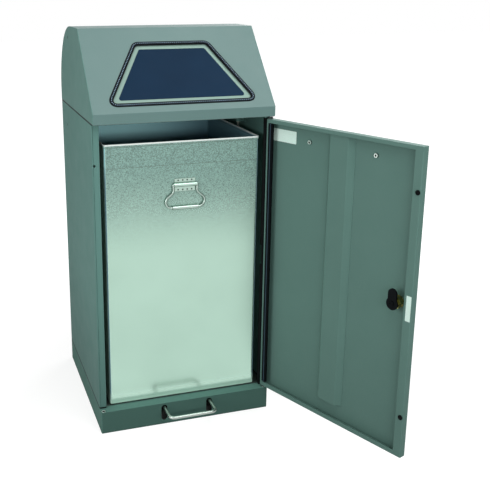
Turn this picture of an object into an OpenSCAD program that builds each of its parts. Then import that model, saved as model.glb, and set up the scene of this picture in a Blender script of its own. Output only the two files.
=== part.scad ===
// Pedal recycling bin: a sheet steel cabinet with a sloped hood, a side-hung door, a lift-out
// container and a foot pedal that swings the inlet flap inwards by a rocking shaft and a push rod.
// X runs to the right, Y to the back and Z up. The origin is on the floor, under the middle of
// the cabinet. Drawn with the door open, the flap shut, the pedal up and the container in place.

/* [Cabinet] */
// Width of the plinth, body and hood
cabinet_w = 400; // [388:1:440]
// Depth from the door's face to the back
cabinet_d = 400; // [385:1:440]
// Height of the plinth
plinth_h = 52; // [50:1:64]
// Height of the seam between body and hood, above the floor
seam_z = 700; // [660:1:780]
// Thickness of the sheet steel
sheet = 1.2; // [1:0.1:1.5]
// Width of the plinth's top ledge at the front
ledge_front_w = 35; // [30:1:45]
// Width of the plinth's top ledge at the back
ledge_back_w = 22; // [18:1:30]
// Width of the plinth's top ledge at the sides
ledge_side_w = 9; // [7:0.5:9.5]
// Width of the plinth's turned-in foot
foot_w = 12; // [10:1:16]
// Width of the body's two front flanges
front_flange_w = 15.5; // [14:0.5:18]
// Depth of the returns behind the front flanges
flange_return = 9; // [6:1:12]
// Outer bend radius of the folded sheet
bend_r = 3; // [2:0.5:4]

/* [Hood] */
// Height of the upright lip above the seam
lip_h = 22; // [18:1:30]
// Height of the hood's flat top above the seam
hood_h = 185; // [180:1:200]
// Depth from the front to the fold between slope and top
slope_depth = 148; // [140:1:160]
// Radius of the round back of the hood
roof_r = 160; // [120:1:170]
// Width of the flanges folded in round the cheeks
cheek_flange = 9; // [6:1:11]

/* [Inlet] */
// Width of the inlet along its lower edge
inlet_bottom_w = 315; // [280:1:318]
// Width of the inlet along its upper edge
inlet_top_w = 160; // [130:1:180]
// Distance from the lip's fold up the slope to the inlet
inlet_start = 24; // [22:1:28]
// Length of the inlet along the slope
inlet_len = 149; // [135:1:150]
// Corner radius of the inlet
inlet_r = 6; // [4:1:10]
// How far the rubber edge trim covers the sheet
trim_cover = 8; // [6:0.5:9]
// Thickness of the trim's lips
trim_lip = 2; // [1.5:0.1:2.4]
// How far the trim stands into the inlet
trim_bulge = 1; // [0.8:0.1:1.5]

/* [Flap] */
// Angle through which the flap swings inwards
flap_open = 55; // [45:1:60]
// Distance from the inlet's upper edge to the flap's axle, along the slope
axle_above_inlet = 17; // [17:0.5:22]
// Depth of the flap's axle below the face of the slope
axle_depth = 13; // [13:0.5:16]
// Diameter of the flap's axle
axle_d = 8; // [7:0.5:10]
// Width of the bare rim round the flap's coloured film
film_margin = 9; // [7:0.5:12]
// Thickness of the film
film_t = 0.6; // [0.4:0.1:0.8]
// Depth of the flap's folded side edges
flap_edge = 7; // [5:1:9]

/* [Door] */
// Depth of the door's tray
door_depth = 16.5; // [16:0.5:20]
// Gap between the closed door and the body's front flanges
door_gap = 2; // [1.8:0.1:2.6]
// Gap from the door's edges to the cabinet's sides
door_side_gap = 1; // [0.5:0.5:2]
// Gap between the plinth's ledge and the door
door_bottom_gap = 3.5; // [3:0.5:5]
// Gap between the door and the hood
door_top_gap = 6.5; // [5:0.5:8]
// Distance of the door's pivot from the side of the cabinet
pivot_inset_x = 6.5; // [6.5:0.5:7.5]
// Distance of the door's pivot behind the front
pivot_inset_y = 10; // [9.5:0.5:10.5]
// Angle at which the door is drawn open
door_open = 112.4; // [0:0.1:118]
// Width of the tray's rim on the hinge side
door_rim_hinge = 9; // [8:0.5:11]
// Width of the tray's rim on the free side
door_rim_free = 18; // [17:0.5:20]
// Height of the tray's rim at the bottom
door_rim_bottom = 9.5; // [8:0.5:14]
// Height of the tray's rim at the top
door_rim_top = 8; // [7:0.5:12]
// Height of the door's stiffener
stiffener_h = 590; // [480:1:600]
// Height of the lock above the floor
lock_z = 378; // [330:1:420]

/* [Container] */
// Space beside the container, where the push rod runs
rod_bay = 24.8; // [23.5:0.1:28]
// Depth of the container
container_d = 340; // [300:1:342]
// Gap from the container's rim up to the seam
container_top_gap = 46.2; // [40:0.1:60]
// Wall of the container
container_wall = 1; // [0.8:0.1:1.4]
// Height of the container's hemmed rim
rim_h = 6; // [5:0.5:9]
// Width of the drop handle's bracket
bracket_w = 47; // [42:1:54]
// Height of the drop handle's bracket
bracket_h = 28; // [24:1:32]
// Depth of the drop handle's pivot below the container's rim
handle_drop = 96; // [70:1:140]
// Offset of the drop handle from the container's middle
handle_offset = 3; // [0:0.5:6]
// Wire of the drop handle
bail_wire = 5; // [4:0.5:6]

/* [Pedal] */
// Diameter of the pedal's bent rod
pedal_rod = 7; // [6:0.5:8]
// Distance between the pedal's two legs
pedal_w = 108; // [96:1:130]
// How far the pedal's bar stands in front of the plinth
pedal_reach = 52; // [45:1:58]
// Height of the pedal's rod above the floor
pedal_z = 42; // [41.5:0.1:42]
// Angle through which the pedal is pressed
pedal_press = 9; // [7:0.1:9]
// Distance of the pedal's shaft behind the front
shaft_from_front = 160; // [150:1:175]
// Diameter of the pedal's shaft
shaft_d = 10; // [9:0.5:11]
// Length of the lever arm on the shaft
lever_len = 100; // [90:1:108]

/* [Push rod] */
// Diameter of the push rod
rod_d = 6; // [5:0.5:6.5]
// Diameter of the pins in the rod's eyes
eye_pin_d = 6; // [5:0.5:6.5]
// Clearance round the pins in the rod's slotted eyes
eye_clear = 0.3; // [0.2:0.05:0.4]
// Radial clearance of shafts and pins in their bearings
run_clear = 0.05; // [0.02:0.01:0.1]
// Outside diameter of the return spring
spring_d = 11; // [9:0.5:12]
// Wire of the return spring
spring_wire = 1.6; // [1.2:0.1:2]

/* [Hidden] */
$fn = 96;
seat = 0.3;

front_y = -cabinet_d / 2;
back_y = cabinet_d / 2;
side_x = cabinet_w / 2;
inner_x = side_x - sheet;
shell_front_y = front_y + door_depth + door_gap;
shell_h = seam_z - plinth_h;

// Slope of the hood: its top, its angle and its fold line on the lip
hood_top_z = seam_z + hood_h;
lip_top_z = seam_z + lip_h;
slope_rise = hood_h - lip_h;
slope_angle = atan(slope_rise / slope_depth);

// Floor plate and its three raised runners
floor_t = 1.5;
runner_h = 2;
runner_w = 22;
runner_spacing = 120;
floor_screw_out = 28;
floor_screw_d = 3.5;
container_z = plinth_h + floor_t + runner_h + seat;

// Container and its drop handle
container_w = 2 * (inner_x - rod_bay);
container_h = seam_z - container_top_gap - container_z;
container_front_y = shell_front_y + 7.5;
container_r = 6;
rim_out = 0.8;
handle_z = container_z + container_h - handle_drop;
bracket_t = 1.5;
barrel_d = bail_wire + 3.6;
bail_y = container_front_y - barrel_d / 2 - 0.3;
barrel_l = bracket_w + 5;
bail_bend = 5;
bail_wide = 47;
bail_drop = 51;
grip_l = 58;

// Flap: its own outline laps behind the trim
flap_t = 1.2;
flap_lap = trim_cover;
flap_face = -(sheet + trim_lip + seat);
axle_s = inlet_start + inlet_len + axle_above_inlet;
flap_axis_y = front_y + axle_s * cos(slope_angle) + axle_depth * sin(slope_angle);
flap_axis_z = lip_top_z + axle_s * sin(slope_angle) - axle_depth * cos(slope_angle);

// Pedal shaft, lever arm and push rod. The rod runs along one line, so the arm and the crank
// swing evenly to both sides of the square to it, and its eyes are slotted for their arcs.
shaft_y = front_y + shaft_from_front;
shaft_z = pedal_z - 2;
rod_x = inner_x - 14.8;
crank_r = lever_len * sin(pedal_press / 2) / sin(flap_open / 2);
rod_offset = lever_len * (1 + cos(pedal_press / 2)) / 2;
crank_offset = crank_r * (1 + cos(flap_open / 2)) / 2;
axis_dy = flap_axis_y - shaft_y;
axis_dz = flap_axis_z - shaft_z;
// Tilt of the push rod to the back, and the heights of its two pins along it
rod_tilt = asin((rod_offset - crank_offset) / norm([axis_dy, axis_dz])) - atan2(axis_dy, axis_dz);
rod_low = -lever_len * sin(pedal_press / 2);
flap_axis_u = axis_dz * cos(rod_tilt) - axis_dy * sin(rod_tilt);
rod_high = flap_axis_u - crank_r * sin(flap_open / 2);
lever_angle = rod_tilt - pedal_press / 2;
crank_angle = rod_tilt - flap_open / 2;
arm_t = 4;
arm_x = rod_x - 7.5;
eye_t = 6;
eye_r = eye_pin_d / 2 + 5.5;
neck_low = eye_r - 3;
neck_high = 20;
neck_d = rod_d + 4;
pin_head_t = 1.4;
guide_heights = [150, 620];
spring_low = 215;
spring_high = 335;
spring_w = 17;
spring_turns = 26;
peg_d = 4;

// Door: drawn shut, then swung on its pivot
pivot_x = side_x - pivot_inset_x;
pivot_y = front_y + pivot_inset_y;
door_w = cabinet_w - 2 * door_side_gap;
door_x = door_w / 2;
door_low = plinth_h + door_bottom_gap;
door_high = seam_z - door_top_gap;
door_h = door_high - door_low;
door_in_y = front_y + door_depth;
hinge_pin_d = 5;
bush_d = 8;
bush_flange_d = 11.5;
lock_x = -door_x + 41;
lock_d = 18;
plug_d = 12;
cam_len = 31;
cam_w = 20;
cam_hub_d = 26;
cam_t = 3;
nut_h = 11;
cam_y = shell_front_y + sheet + 0.4;
keeper_slot_h = 46;
buffer_d = 8;
buffer_x = -door_x + 6;
buffer_heights = [door_low + 89, door_high - 86.5];
stud_spacing = 170;
stud_z = door_high - 36.5;
stud_d = 5;
stud_len = 2.4;
stud_nut_h = 2.6;
stud_weld_t = 1;

// Inlet, film and pedal slots
corner_steps = 12;
film_r = 5;
slot_w = 14;
slot_low = pedal_z - pedal_rod / 2 - 29;
slot_high = pedal_z + pedal_rod / 2 + 2;
bracket_xs = [-pedal_w / 2 - 18, pedal_w / 2 + 18, rod_x - 26];
bush_wall = 2;
bearing_x = rod_x - 34;
bearing_t = 3;
bearing_bore = axle_d + 2 * bush_wall;
lug_x = 58;
lug_t = 3;
guide_h = 12;
guide_d = rod_d + 2 * bush_wall;

// Seam under the hood's cheeks and groove beside the body's front corners
seam_gap = 1.5;
groove_w = 1;
groove_t = 0.8;

// Straps and rivets that tie hood and body, as [depth, height above the seam]
strap_low = [back_y - 70, -51.5];
strap_high = [back_y - 123, 159];
rivet_d = 4.8;

// Helpers

// Rectangle with round corners, around the origin
module rounded_rect(w, d, r) {
    square([w - 2 * r, d], center = true);
    square([w, d - 2 * r], center = true);
    for (x = [-1, 1], y = [-1, 1])
        translate([x * (w / 2 - r), y * (d / 2 - r)]) circle(r);
}

// Angle of a direction in the plane
function heading(v) = atan2(v.y, v.x);

// Outline that stands out by r from convex corners, given anticlockwise, with round corners
function rounded_points(p, r) =
    [for (i = [0 : len(p) - 1])
        let (before = p[(i + len(p) - 1) % len(p)], after = p[(i + 1) % len(p)],
            start = heading(p[i] - before) - 90,
            turn = (heading(after - p[i]) - 90 - start + 720) % 360)
        for (k = [0 : corner_steps])
            let (a = start + turn * k / corner_steps) p[i] + r * [cos(a), sin(a)]];

// Signed turn at one point of a path
function turn_at(p, i) =
    let (t = heading(p[i + 1] - p[i]) - heading(p[i] - p[i - 1]))
    t > 180 ? t - 360 : t < -180 ? t + 360 : t;

// Length that a bend takes off the straight run before and after a corner
function bend_cut(p, i, bend) =
    i == 0 || i == len(p) - 1 ? 0 : bend * tan(abs(turn_at(p, i)) / 2);

// Round wire in the XY plane, bent at the inner points to the given centreline radius. The bends
// swell a little, as pressed wire does, and each straight run reaches a little way into them.
module bent_wire(p, d, bend) {
    last = len(p) - 1;
    swell = 0.06;
    lap = 0.3;
    for (i = [0 : last - 1]) {
        way = heading(p[i + 1] - p[i]);
        start = i == 0 ? 0 : bend_cut(p, i, bend) - lap;
        end = norm(p[i + 1] - p[i]) - (i == last - 1 ? 0 : bend_cut(p, i + 1, bend) - lap);
        translate(p[i]) rotate([0, 0, way]) translate([start, 0, 0])
            rotate([0, 90, 0]) cylinder(h = end - start, d = d);
    }
    for (i = [1 : last - 1]) {
        turn = turn_at(p, i);
        way = heading(p[i] - p[i - 1]);
        side = turn > 0 ? 1 : -1;
        translate(p[i]) rotate([0, 0, way]) translate([-bend_cut(p, i, bend), side * bend, 0])
            rotate([0, 0, turn > 0 ? -90 : 90 + turn])
            rotate_extrude(angle = abs(turn)) translate([bend, 0]) circle(d = d + swell);
    }
}

// Pin or screw with a domed head: the shank runs down from the origin, the head stands above
module domed_pin(d, length, head_d, head_h) {
    translate([0, 0, -length]) cylinder(h = length, d = d);
    dome_r = (pow(head_d / 2, 2) + pow(head_h, 2)) / (2 * head_h);
    rotate_extrude() intersection() {
        square([head_d / 2, head_h]);
        translate([0, head_h - dome_r]) circle(dome_r);
    }
}

// Frame of the slope: X as in the model, Y up the slope from the lip's fold, Z out of its face
module on_slope() {
    translate([0, front_y, lip_top_z]) rotate([slope_angle, 0, 0]) children();
}

// Frame of the push rod: Z along the rod from beside the pedal's shaft, Y to the back
module on_rod() {
    translate([rod_x, shaft_y, shaft_z]) rotate([rod_tilt, 0, 0])
        translate([0, rod_offset, 0]) children();
}

// Profile in the YZ plane, extruded along X from x0 to x1
module along_x(x0, x1) {
    translate([x0, 0, 0]) rotate([90, 0, 90]) linear_extrude(x1 - x0) children();
}

// Swings the door's pieces from shut to the drawn position
module on_door() {
    translate([pivot_x, pivot_y, 0]) rotate([0, 0, door_open])
        translate([-pivot_x, -pivot_y, 0]) children();
}

// Side outline of the hood in the YZ plane, moved inwards by inset
module hood_outline(inset) {
    arc_y = back_y - roof_r;
    arc_z = hood_top_z - roof_r;
    top = hood_top_z - inset;
    polygon([
        [front_y + inset, seam_z],
        [front_y + inset, lip_top_z - inset * (1 - sin(slope_angle)) / cos(slope_angle)],
        [front_y + slope_depth + inset * tan(slope_angle / 2), top],
        [arc_y, top],
        [arc_y, seam_z]
    ]);
    translate([arc_y, seam_z]) square([roof_r - inset, arc_z - seam_z]);
    intersection() {
        translate([arc_y, arc_z]) circle(roof_r - inset);
        translate([arc_y, arc_z]) square(roof_r);
    }
}

// Half width of the inlet at a distance up the slope
inlet_taper = (inlet_bottom_w - inlet_top_w) / 2 / inlet_len;
function inlet_half(s) = inlet_bottom_w / 2 - inlet_taper * (s - inlet_start);

// Inlet outline on the slope, grown outwards by grow and with corners of radius r
module inlet_outline(grow, r) {
    inset = r - grow;
    low = inlet_start + inset;
    high = inlet_start + inlet_len - inset;
    narrow = inset * norm([1, inlet_taper]);
    wide_low = inlet_half(low) - narrow;
    wide_high = inlet_half(high) - narrow;
    corners = [[-wide_low, low], [wide_low, low], [wide_high, high], [-wide_high, high]];
    polygon(rounded_points(corners, r));
}

// Direction of a path at one of its points
function along(path, i) =
    let (v = path[min(i + 1, len(path) - 1)] - path[max(i - 1, 0)]) v / norm(v);

// Part of v square to a direction, at unit length
function square_to(v, way) = let (w = v - way * (v * way)) w / norm(w);

// Tube of few sides swept along a path, its section turning no more than the path does
module swept_tube(path, first_side, d, sides = 6) {
    last = len(path) - 1;
    side_list = [for (i = 0, a = square_to(first_side, along(path, 0)); i <= last;
        i = i + 1, a = square_to(a, along(path, i))) a];
    rings = [for (i = [0 : last], k = [0 : sides - 1])
        let (a = side_list[i], b = cross(along(path, i), a))
        path[i] + d / 2 * (a * cos(360 * k / sides) + b * sin(360 * k / sides))];
    walls = [for (i = [0 : last - 1], k = [0 : sides - 1])
        let (p = i * sides + k, q = i * sides + (k + 1) % sides)
        each [[p, q + sides, q], [p, p + sides, q + sides]]];
    caps = [[for (k = [0 : sides - 1]) k], [for (k = [sides - 1 : -1 : 0]) last * sides + k]];
    polyhedron(rings, concat(walls, caps), convexity = 10);
}

// Cabinet

module plinth() {
    color("darkslategray") difference() {
        linear_extrude(plinth_h) rounded_rect(cabinet_w, cabinet_d, bend_r);
        // Hollow between the foot and the ledge
        translate([0, 0, sheet]) linear_extrude(plinth_h - 2 * sheet)
            rounded_rect(2 * inner_x, cabinet_d - 2 * sheet, bend_r - sheet / 2);
        // Open bottom inside the turned-in foot
        translate([0, 0, -1]) linear_extrude(sheet + 2)
            rounded_rect(cabinet_w - 2 * foot_w, cabinet_d - 2 * foot_w, bend_r);
        // Open top inside the ledge
        ledge_open_d = cabinet_d - ledge_front_w - ledge_back_w;
        translate([0, (ledge_front_w - ledge_back_w) / 2, plinth_h - sheet - 1])
            linear_extrude(sheet + 2) rounded_rect(cabinet_w - 2 * ledge_side_w, ledge_open_d, bend_r);
        // Slots that the pedal's legs move in
        for (x = [-1, 1])
            translate([x * pedal_w / 2, front_y + 5, (slot_low + slot_high) / 2]) rotate([90, 0, 0])
                linear_extrude(10) rounded_rect(slot_w, slot_high - slot_low, slot_w / 2 - 0.01);
        // Hinge pin hole, and the same hole for a door hung on the other side
        for (x = [-1, 1])
            translate([x * pivot_x, pivot_y, plinth_h - sheet - 1]) cylinder(h = sheet + 2, d = hinge_pin_d);
        floor_screw_places() cylinder(h = 8, d = floor_screw_d, center = true);
    }
}

// The four screws that hold the floor plate to the plinth's ledge
module floor_screw_places() {
    for (x = [-1, 1], y = [front_y + ledge_front_w - 4, back_y - ledge_back_w / 2])
        translate([x * (runner_spacing + floor_screw_out), y, plinth_h]) children();
}

// Section of the floor plate across its width, with the raised runners
module floor_section() {
    difference() {
        union() {
            translate([-inner_x, 0]) square([2 * inner_x, floor_t]);
            for (i = [-1 : 1]) translate([i * runner_spacing, 0]) runner_section(runner_w, runner_h + floor_t);
        }
        for (i = [-1 : 1]) translate([i * runner_spacing, -0.01])
            runner_section(runner_w - 2 * floor_t, runner_h + 0.01);
    }
}

module runner_section(w, h) {
    polygon([[-w / 2, 0], [w / 2, 0], [w / 2 - h / 2, h], [-w / 2 + h / 2, h]]);
}

module floor_plate() {
    plate_front = front_y + ledge_front_w - 8;
    plate_back = back_y - sheet - 5 * seat;
    color("gray") difference() {
        translate([0, plate_back, plinth_h]) rotate([90, 0, 0])
            linear_extrude(plate_back - plate_front) floor_section();
        // Notches for the body's front flanges and their returns, and clearance at the sides
        notch = front_flange_w + sheet + seat;
        for (x = [-1, 1]) {
            translate([x * (side_x - notch / 2), shell_front_y, plinth_h])
                cube([notch, 2 * (flange_return + 1), 10], center = true);
            translate([x * side_x, 0, plinth_h]) cube([2 * (sheet + seat), cabinet_d, 10], center = true);
        }
        // Slot for the lever arm and the foot of the push rod
        slot_front = shaft_y + 6;
        slot_back = shaft_y + lever_len + 17;
        translate([arm_x - arm_t / 2 - 2, slot_front, plinth_h - 1])
            cube([rod_x + eye_t / 2 + 3 - (arm_x - arm_t / 2 - 2), slot_back - slot_front, 8]);
        floor_screw_places() cylinder(h = 8, d = floor_screw_d, center = true);
        bracket_screw_places() cylinder(h = 20, d = 4, center = true);
    }
}

module floor_screws() {
    color("lightgray") floor_screw_places() translate([0, 0, floor_t]) domed_pin(floor_screw_d, 6, 6, 1.2);
}

module cabinet_shell() {
    depth = back_y - shell_front_y;
    mid_y = (back_y + shell_front_y) / 2;
    flange_x = side_x - front_flange_w;
    color("slategray") translate([0, 0, plinth_h]) difference() {
        linear_extrude(shell_h) difference() {
            translate([0, mid_y]) rounded_rect(cabinet_w, depth, bend_r);
            difference() {
                translate([0, mid_y]) rounded_rect(2 * inner_x, depth - 2 * sheet, bend_r - sheet / 2);
                // Returns folded back from the front flanges
                for (x = [-1, 1])
                    translate([x * (flange_x + sheet / 2), shell_front_y + flange_return / 2])
                        square([sheet, flange_return], center = true);
            }
            translate([-flange_x, shell_front_y - 1]) square([2 * flange_x, sheet + 2]);
        }
        // Groove where each front flange meets its side
        for (x = [-1, 1])
            translate([x * (side_x - 2.6), shell_front_y, shell_h / 2])
                cube([groove_w, 2 * groove_t, shell_h + 2], center = true);
        // Slots in the returns that the lock's cam turns through
        for (x = [-1, 1])
            translate([x * flange_x, shell_front_y + sheet + 4, lock_z - plinth_h])
                cube([4 * sheet, 8, keeper_slot_h], center = true);
        strap_rivet_places(strap_low) cylinder(h = 12, d = rivet_d, center = true);
        // Small hole for a grounding screw in the left front flange
        translate([-side_x + 4.3, shell_front_y, seam_z - 88 - plinth_h]) rotate([90, 0, 0])
            cylinder(h = 6, d = 5, center = true);
    }
}

// Hood

module hood_cover() {
    color("cadetblue") difference() {
        union() {
            along_x(-inner_x, inner_x) difference() {
                hood_outline(0);
                hood_outline(sheet);
            }
            // Lip folded under towards the body's front flanges
            translate([-inner_x, front_y, seam_z]) cube([2 * inner_x, shell_front_y + sheet - front_y, sheet]);
            translate([-inner_x, shell_front_y, seam_z]) cube([2 * inner_x, sheet, 12]);
        }
        on_slope() translate([0, 0, -10]) linear_extrude(20) inlet_outline(0, inlet_r);
        for (x = [-1, 1])
            translate([x * pivot_x, pivot_y, seam_z]) cylinder(h = 6, d = hinge_pin_d, center = true);
    }
}

// Cheek for the right side: a plate with a flange folded in along the cover
module hood_cheek() {
    difference() {
        union() {
            along_x(inner_x, side_x) hood_outline(0);
            along_x(inner_x - cheek_flange, inner_x) difference() {
                hood_outline(sheet);
                hood_outline(2 * sheet);
            }
        }
        // Seam above the body
        translate([0, front_y - 1, seam_z - 1]) cube([cabinet_w, cabinet_d + 2, 1 + seam_gap]);
        // The flange stops clear of the lip's fold
        translate([0, front_y, seam_z]) cube([inner_x, door_depth + door_gap + 3 * sheet, 14]);
        translate([0, 0, seam_z]) strap_rivet_places(strap_high) cylinder(h = 12, d = rivet_d, center = true);
    }
}

module hood_cheek_right() {
    color("cadetblue") hood_cheek();
}

module hood_cheek_left() {
    color("cadetblue") mirror([1, 0, 0]) hood_cheek();
}

// Rivet axes on both sides, at a place given as [depth, height above the seam]
module strap_rivet_places(place) {
    for (x = [-1, 1])
        translate([x * side_x, place.x, place.y + (place.y < 0 ? shell_h : 0)]) rotate([0, x * 90, 0]) children();
}

module hood_straps() {
    strap_w = 24;
    strap_t = 2;
    run = strap_high - strap_low;
    color("silver") for (x = [-1, 1])
        difference() {
            translate([x * (inner_x - strap_t / 2), strap_low.x, seam_z + strap_low.y])
                rotate([atan2(-run.x, run.y), 0, 0])
                translate([-strap_t / 2, -strap_w / 2, -strap_w / 2])
                cube([strap_t, strap_w, norm(run) + strap_w]);
            translate([0, 0, plinth_h]) strap_rivet_places(strap_low) cylinder(h = 12, d = rivet_d, center = true);
            translate([0, 0, seam_z]) strap_rivet_places(strap_high) cylinder(h = 12, d = rivet_d, center = true);
        }
}

module strap_rivets() {
    color("gray") {
        translate([0, 0, plinth_h]) strap_rivet_places(strap_low) domed_pin(rivet_d, sheet + 4, 8, 1);
        translate([0, 0, seam_z]) strap_rivet_places(strap_high) domed_pin(rivet_d, sheet + 4, 8, 1);
    }
}

module inlet_edge_trim() {
    color([0.08, 0.1, 0.13]) on_slope() difference() {
        translate([0, 0, -sheet - trim_lip]) linear_extrude(sheet + 2 * trim_lip) difference() {
            inlet_outline(trim_cover, inlet_r + trim_cover);
            inlet_outline(-trim_bulge, inlet_r - trim_bulge);
        }
        // Groove that grips the sheet's edge
        translate([0, 0, -sheet]) linear_extrude(sheet) difference() {
            inlet_outline(trim_cover + 1, inlet_r + trim_cover + 1);
            inlet_outline(0, inlet_r);
        }
    }
}

// Flap bearings under the slope, beside the flap
module flap_bearings() {
    tab_l = 26;
    tab_w = 16;
    tab_t = 2;
    top = -sheet;
    eye_r = bearing_bore / 2 + 3;
    color("slategray") on_slope() for (side = [-1, 1]) difference() {
        union() {
            translate([side * bearing_x - bearing_t / 2, axle_s, 0]) rotate([90, 0, 90])
                linear_extrude(bearing_t) {
                    translate([0, -axle_depth]) circle(eye_r);
                    translate([-eye_r, -axle_depth]) square([2 * eye_r, axle_depth + top]);
                }
            translate([side * bearing_x - (side > 0 ? tab_w : 0), axle_s - tab_l / 2, top - tab_t])
                cube([tab_w, tab_l, tab_t]);
        }
        translate([side * bearing_x, axle_s, -axle_depth]) rotate([0, 90, 0])
            cylinder(h = 3 * bearing_t, d = bearing_bore, center = true);
    }
}

module flap_bushes() {
    color("ivory") on_slope() for (side = [-1, 1])
        translate([side * bearing_x, axle_s, -axle_depth]) rotate([0, 90, 0]) difference() {
            union() {
                cylinder(h = bearing_t + 2, d = bearing_bore, center = true);
                translate([0, 0, side * (bearing_t / 2 + 0.6)]) cylinder(h = 1.2, d = bearing_bore + 4, center = true);
            }
            cylinder(h = 30, d = axle_d + 2 * run_clear, center = true);
        }
}

// Door pivots

module door_pin_lower() {
    color("silver") translate([pivot_x, pivot_y, plinth_h - sheet]) {
        cylinder(h = sheet + door_bottom_gap + 7, d = hinge_pin_d);
        translate([0, 0, -2]) cylinder(h = 2, d = 9);
    }
}

module door_pin_upper() {
    color("silver") translate([pivot_x, pivot_y, seam_z + sheet]) {
        translate([0, 0, -sheet - door_top_gap - 7]) cylinder(h = sheet + door_top_gap + 7, d = hinge_pin_d);
        cylinder(h = 2, d = 9);
    }
}

// Pedal bearings and push rod guides

module bracket_screw_places() {
    for (x = bracket_xs, dy = [-9, 9])
        translate([x - 9, shaft_y + dy, plinth_h]) children();
}

module pedal_brackets() {
    web = 3;
    ear_r = shaft_d / 2 + bush_wall + 3;
    drop = plinth_h - shaft_z;
    color("slategray") for (x = bracket_xs) difference() {
        union() {
            translate([x - web / 2, shaft_y, shaft_z]) rotate([90, 0, 90]) linear_extrude(web) {
                circle(ear_r);
                translate([-ear_r, 0]) square([2 * ear_r, drop]);
            }
            translate([x - 16, shaft_y - 15, plinth_h - 2]) cube([16, 30, 2]);
        }
        translate([x, shaft_y, shaft_z]) rotate([0, 90, 0])
            cylinder(h = 3 * web, d = shaft_d + 2 * bush_wall, center = true);
        bracket_screw_places() cylinder(h = 20, d = 4, center = true);
    }
}

module pedal_bushes() {
    color("ivory") for (x = bracket_xs)
        translate([x, shaft_y, shaft_z]) rotate([0, 90, 0]) difference() {
            cylinder(h = 7, d = shaft_d + 2 * bush_wall, center = true);
            cylinder(h = 20, d = shaft_d + 2 * run_clear, center = true);
        }
}

module bracket_screws() {
    color("lightgray") bracket_screw_places() translate([0, 0, floor_t]) domed_pin(4, 5, 7.5, 1.4);
}

module rod_guides() {
    foot_t = 2;
    foot_l = 28;
    web_t = 8;
    color("slategray") on_rod() for (u = guide_heights) translate([0, 0, u]) difference() {
        union() {
            cylinder(h = guide_h, d = guide_d + 4, center = true);
            translate([0, -web_t / 2, -guide_h / 2]) cube([inner_x - rod_x, web_t, guide_h]);
            translate([inner_x - rod_x - foot_t, -foot_l / 2, -guide_h / 2]) cube([foot_t, foot_l, guide_h]);
        }
        cylinder(h = 2 * guide_h, d = guide_d, center = true);
    }
}

module rod_guide_bushes() {
    color("ivory") on_rod() for (u = guide_heights) translate([0, 0, u]) difference() {
        cylinder(h = guide_h + 3, d = guide_d, center = true);
        cylinder(h = 3 * guide_h, d = rod_d + 2 * run_clear, center = true);
    }
}

module spring_anchor() {
    foot_t = 2;
    reach = inner_x - rod_x;
    color("slategray") on_rod() translate([0, spring_w, spring_low]) {
        rotate([0, 90, 0]) translate([0, 0, -4]) cylinder(h = 4 + reach, d = peg_d);
        translate([-5, 0, 0]) rotate([0, 90, 0]) cylinder(h = 1.5, d = peg_d + 3);
        translate([reach - foot_t, -10, -10]) cube([foot_t, 20, 20]);
    }
}

// Coil spring with an open hook round each peg. The path runs up Z: hook, lead, coil,
// and the same lead and hook again, turned end for end.
module return_spring() {
    length = spring_high - spring_low;
    hook_r = peg_d / 2 + spring_wire / 2 + 0.25;
    hook_angles = [60 : 23 : 290];
    coil_r = (spring_d - spring_wire) / 2;
    coil_low = hook_r + 4;
    coil_h = length - 2 * coil_low;
    steps = 8;
    coil = [for (i = [0 : spring_turns * steps])
        let (a = 360 * i / steps)
        [coil_r * cos(a), coil_r * sin(a), coil_low + coil_h * i / steps / spring_turns]];
    hook = [for (a = hook_angles) hook_r * [0, sin(a), cos(a)]];
    hook_end = hook_r * [0, sin(290), cos(290)];
    hook_way = [0, cos(290), -sin(290)];
    pull = [hook_end, hook_end + 3 * hook_way, coil[0] - [0, 3, 0.6], coil[0]];
    lead = [for (t = [0.15 : 0.17 : 0.84])
        pow(1 - t, 3) * pull[0] + 3 * t * pow(1 - t, 2) * pull[1]
        + 3 * t * t * (1 - t) * pull[2] + pow(t, 3) * pull[3]];
    low_end = concat(hook, lead);
    high_end = [for (i = [len(low_end) - 1 : -1 : 0])
        [low_end[i].x, -low_end[i].y, length - low_end[i].z]];
    turn_gap = min([for (i = [0 : len(coil) - steps - 1]) norm(coil[i + steps] - coil[i])]) - spring_wire;
    echo(least_gap_between_spring_turns = turn_gap);
    color("silver") on_rod() translate([0, spring_w, spring_low])
        swept_tube(concat(low_end, coil, high_end), [1, 0, 0], spring_wire);
}

// Door, drawn shut

module door_panel() {
    mid_y = front_y + door_depth / 2;
    color("slategray") on_door() difference() {
        translate([0, mid_y, door_low]) linear_extrude(door_h) rounded_rect(door_w, door_depth, bend_r - 0.5);
        // Inside of the tray
        translate([0, mid_y, door_low + sheet]) linear_extrude(door_h - 2 * sheet)
            rounded_rect(door_w - 2 * sheet, door_depth - 2 * sheet, bend_r - sheet - 0.5);
        // Opening inside the rim
        translate([-door_x + door_rim_free, door_in_y - sheet - 1, door_low + door_rim_bottom])
            cube([door_w - door_rim_free - door_rim_hinge, sheet + 2, door_h - door_rim_bottom - door_rim_top]);
        for (z = [door_low, door_high])
            translate([pivot_x, pivot_y, z]) cylinder(h = 6, d = bush_d, center = true);
        translate([lock_x, front_y, lock_z]) rotate([90, 0, 0]) cylinder(h = 8, d = lock_d, center = true);
        for (z = buffer_heights)
            translate([buffer_x, door_in_y, z]) rotate([90, 0, 0]) cylinder(h = 6, d = buffer_d, center = true);
    }
}

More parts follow.
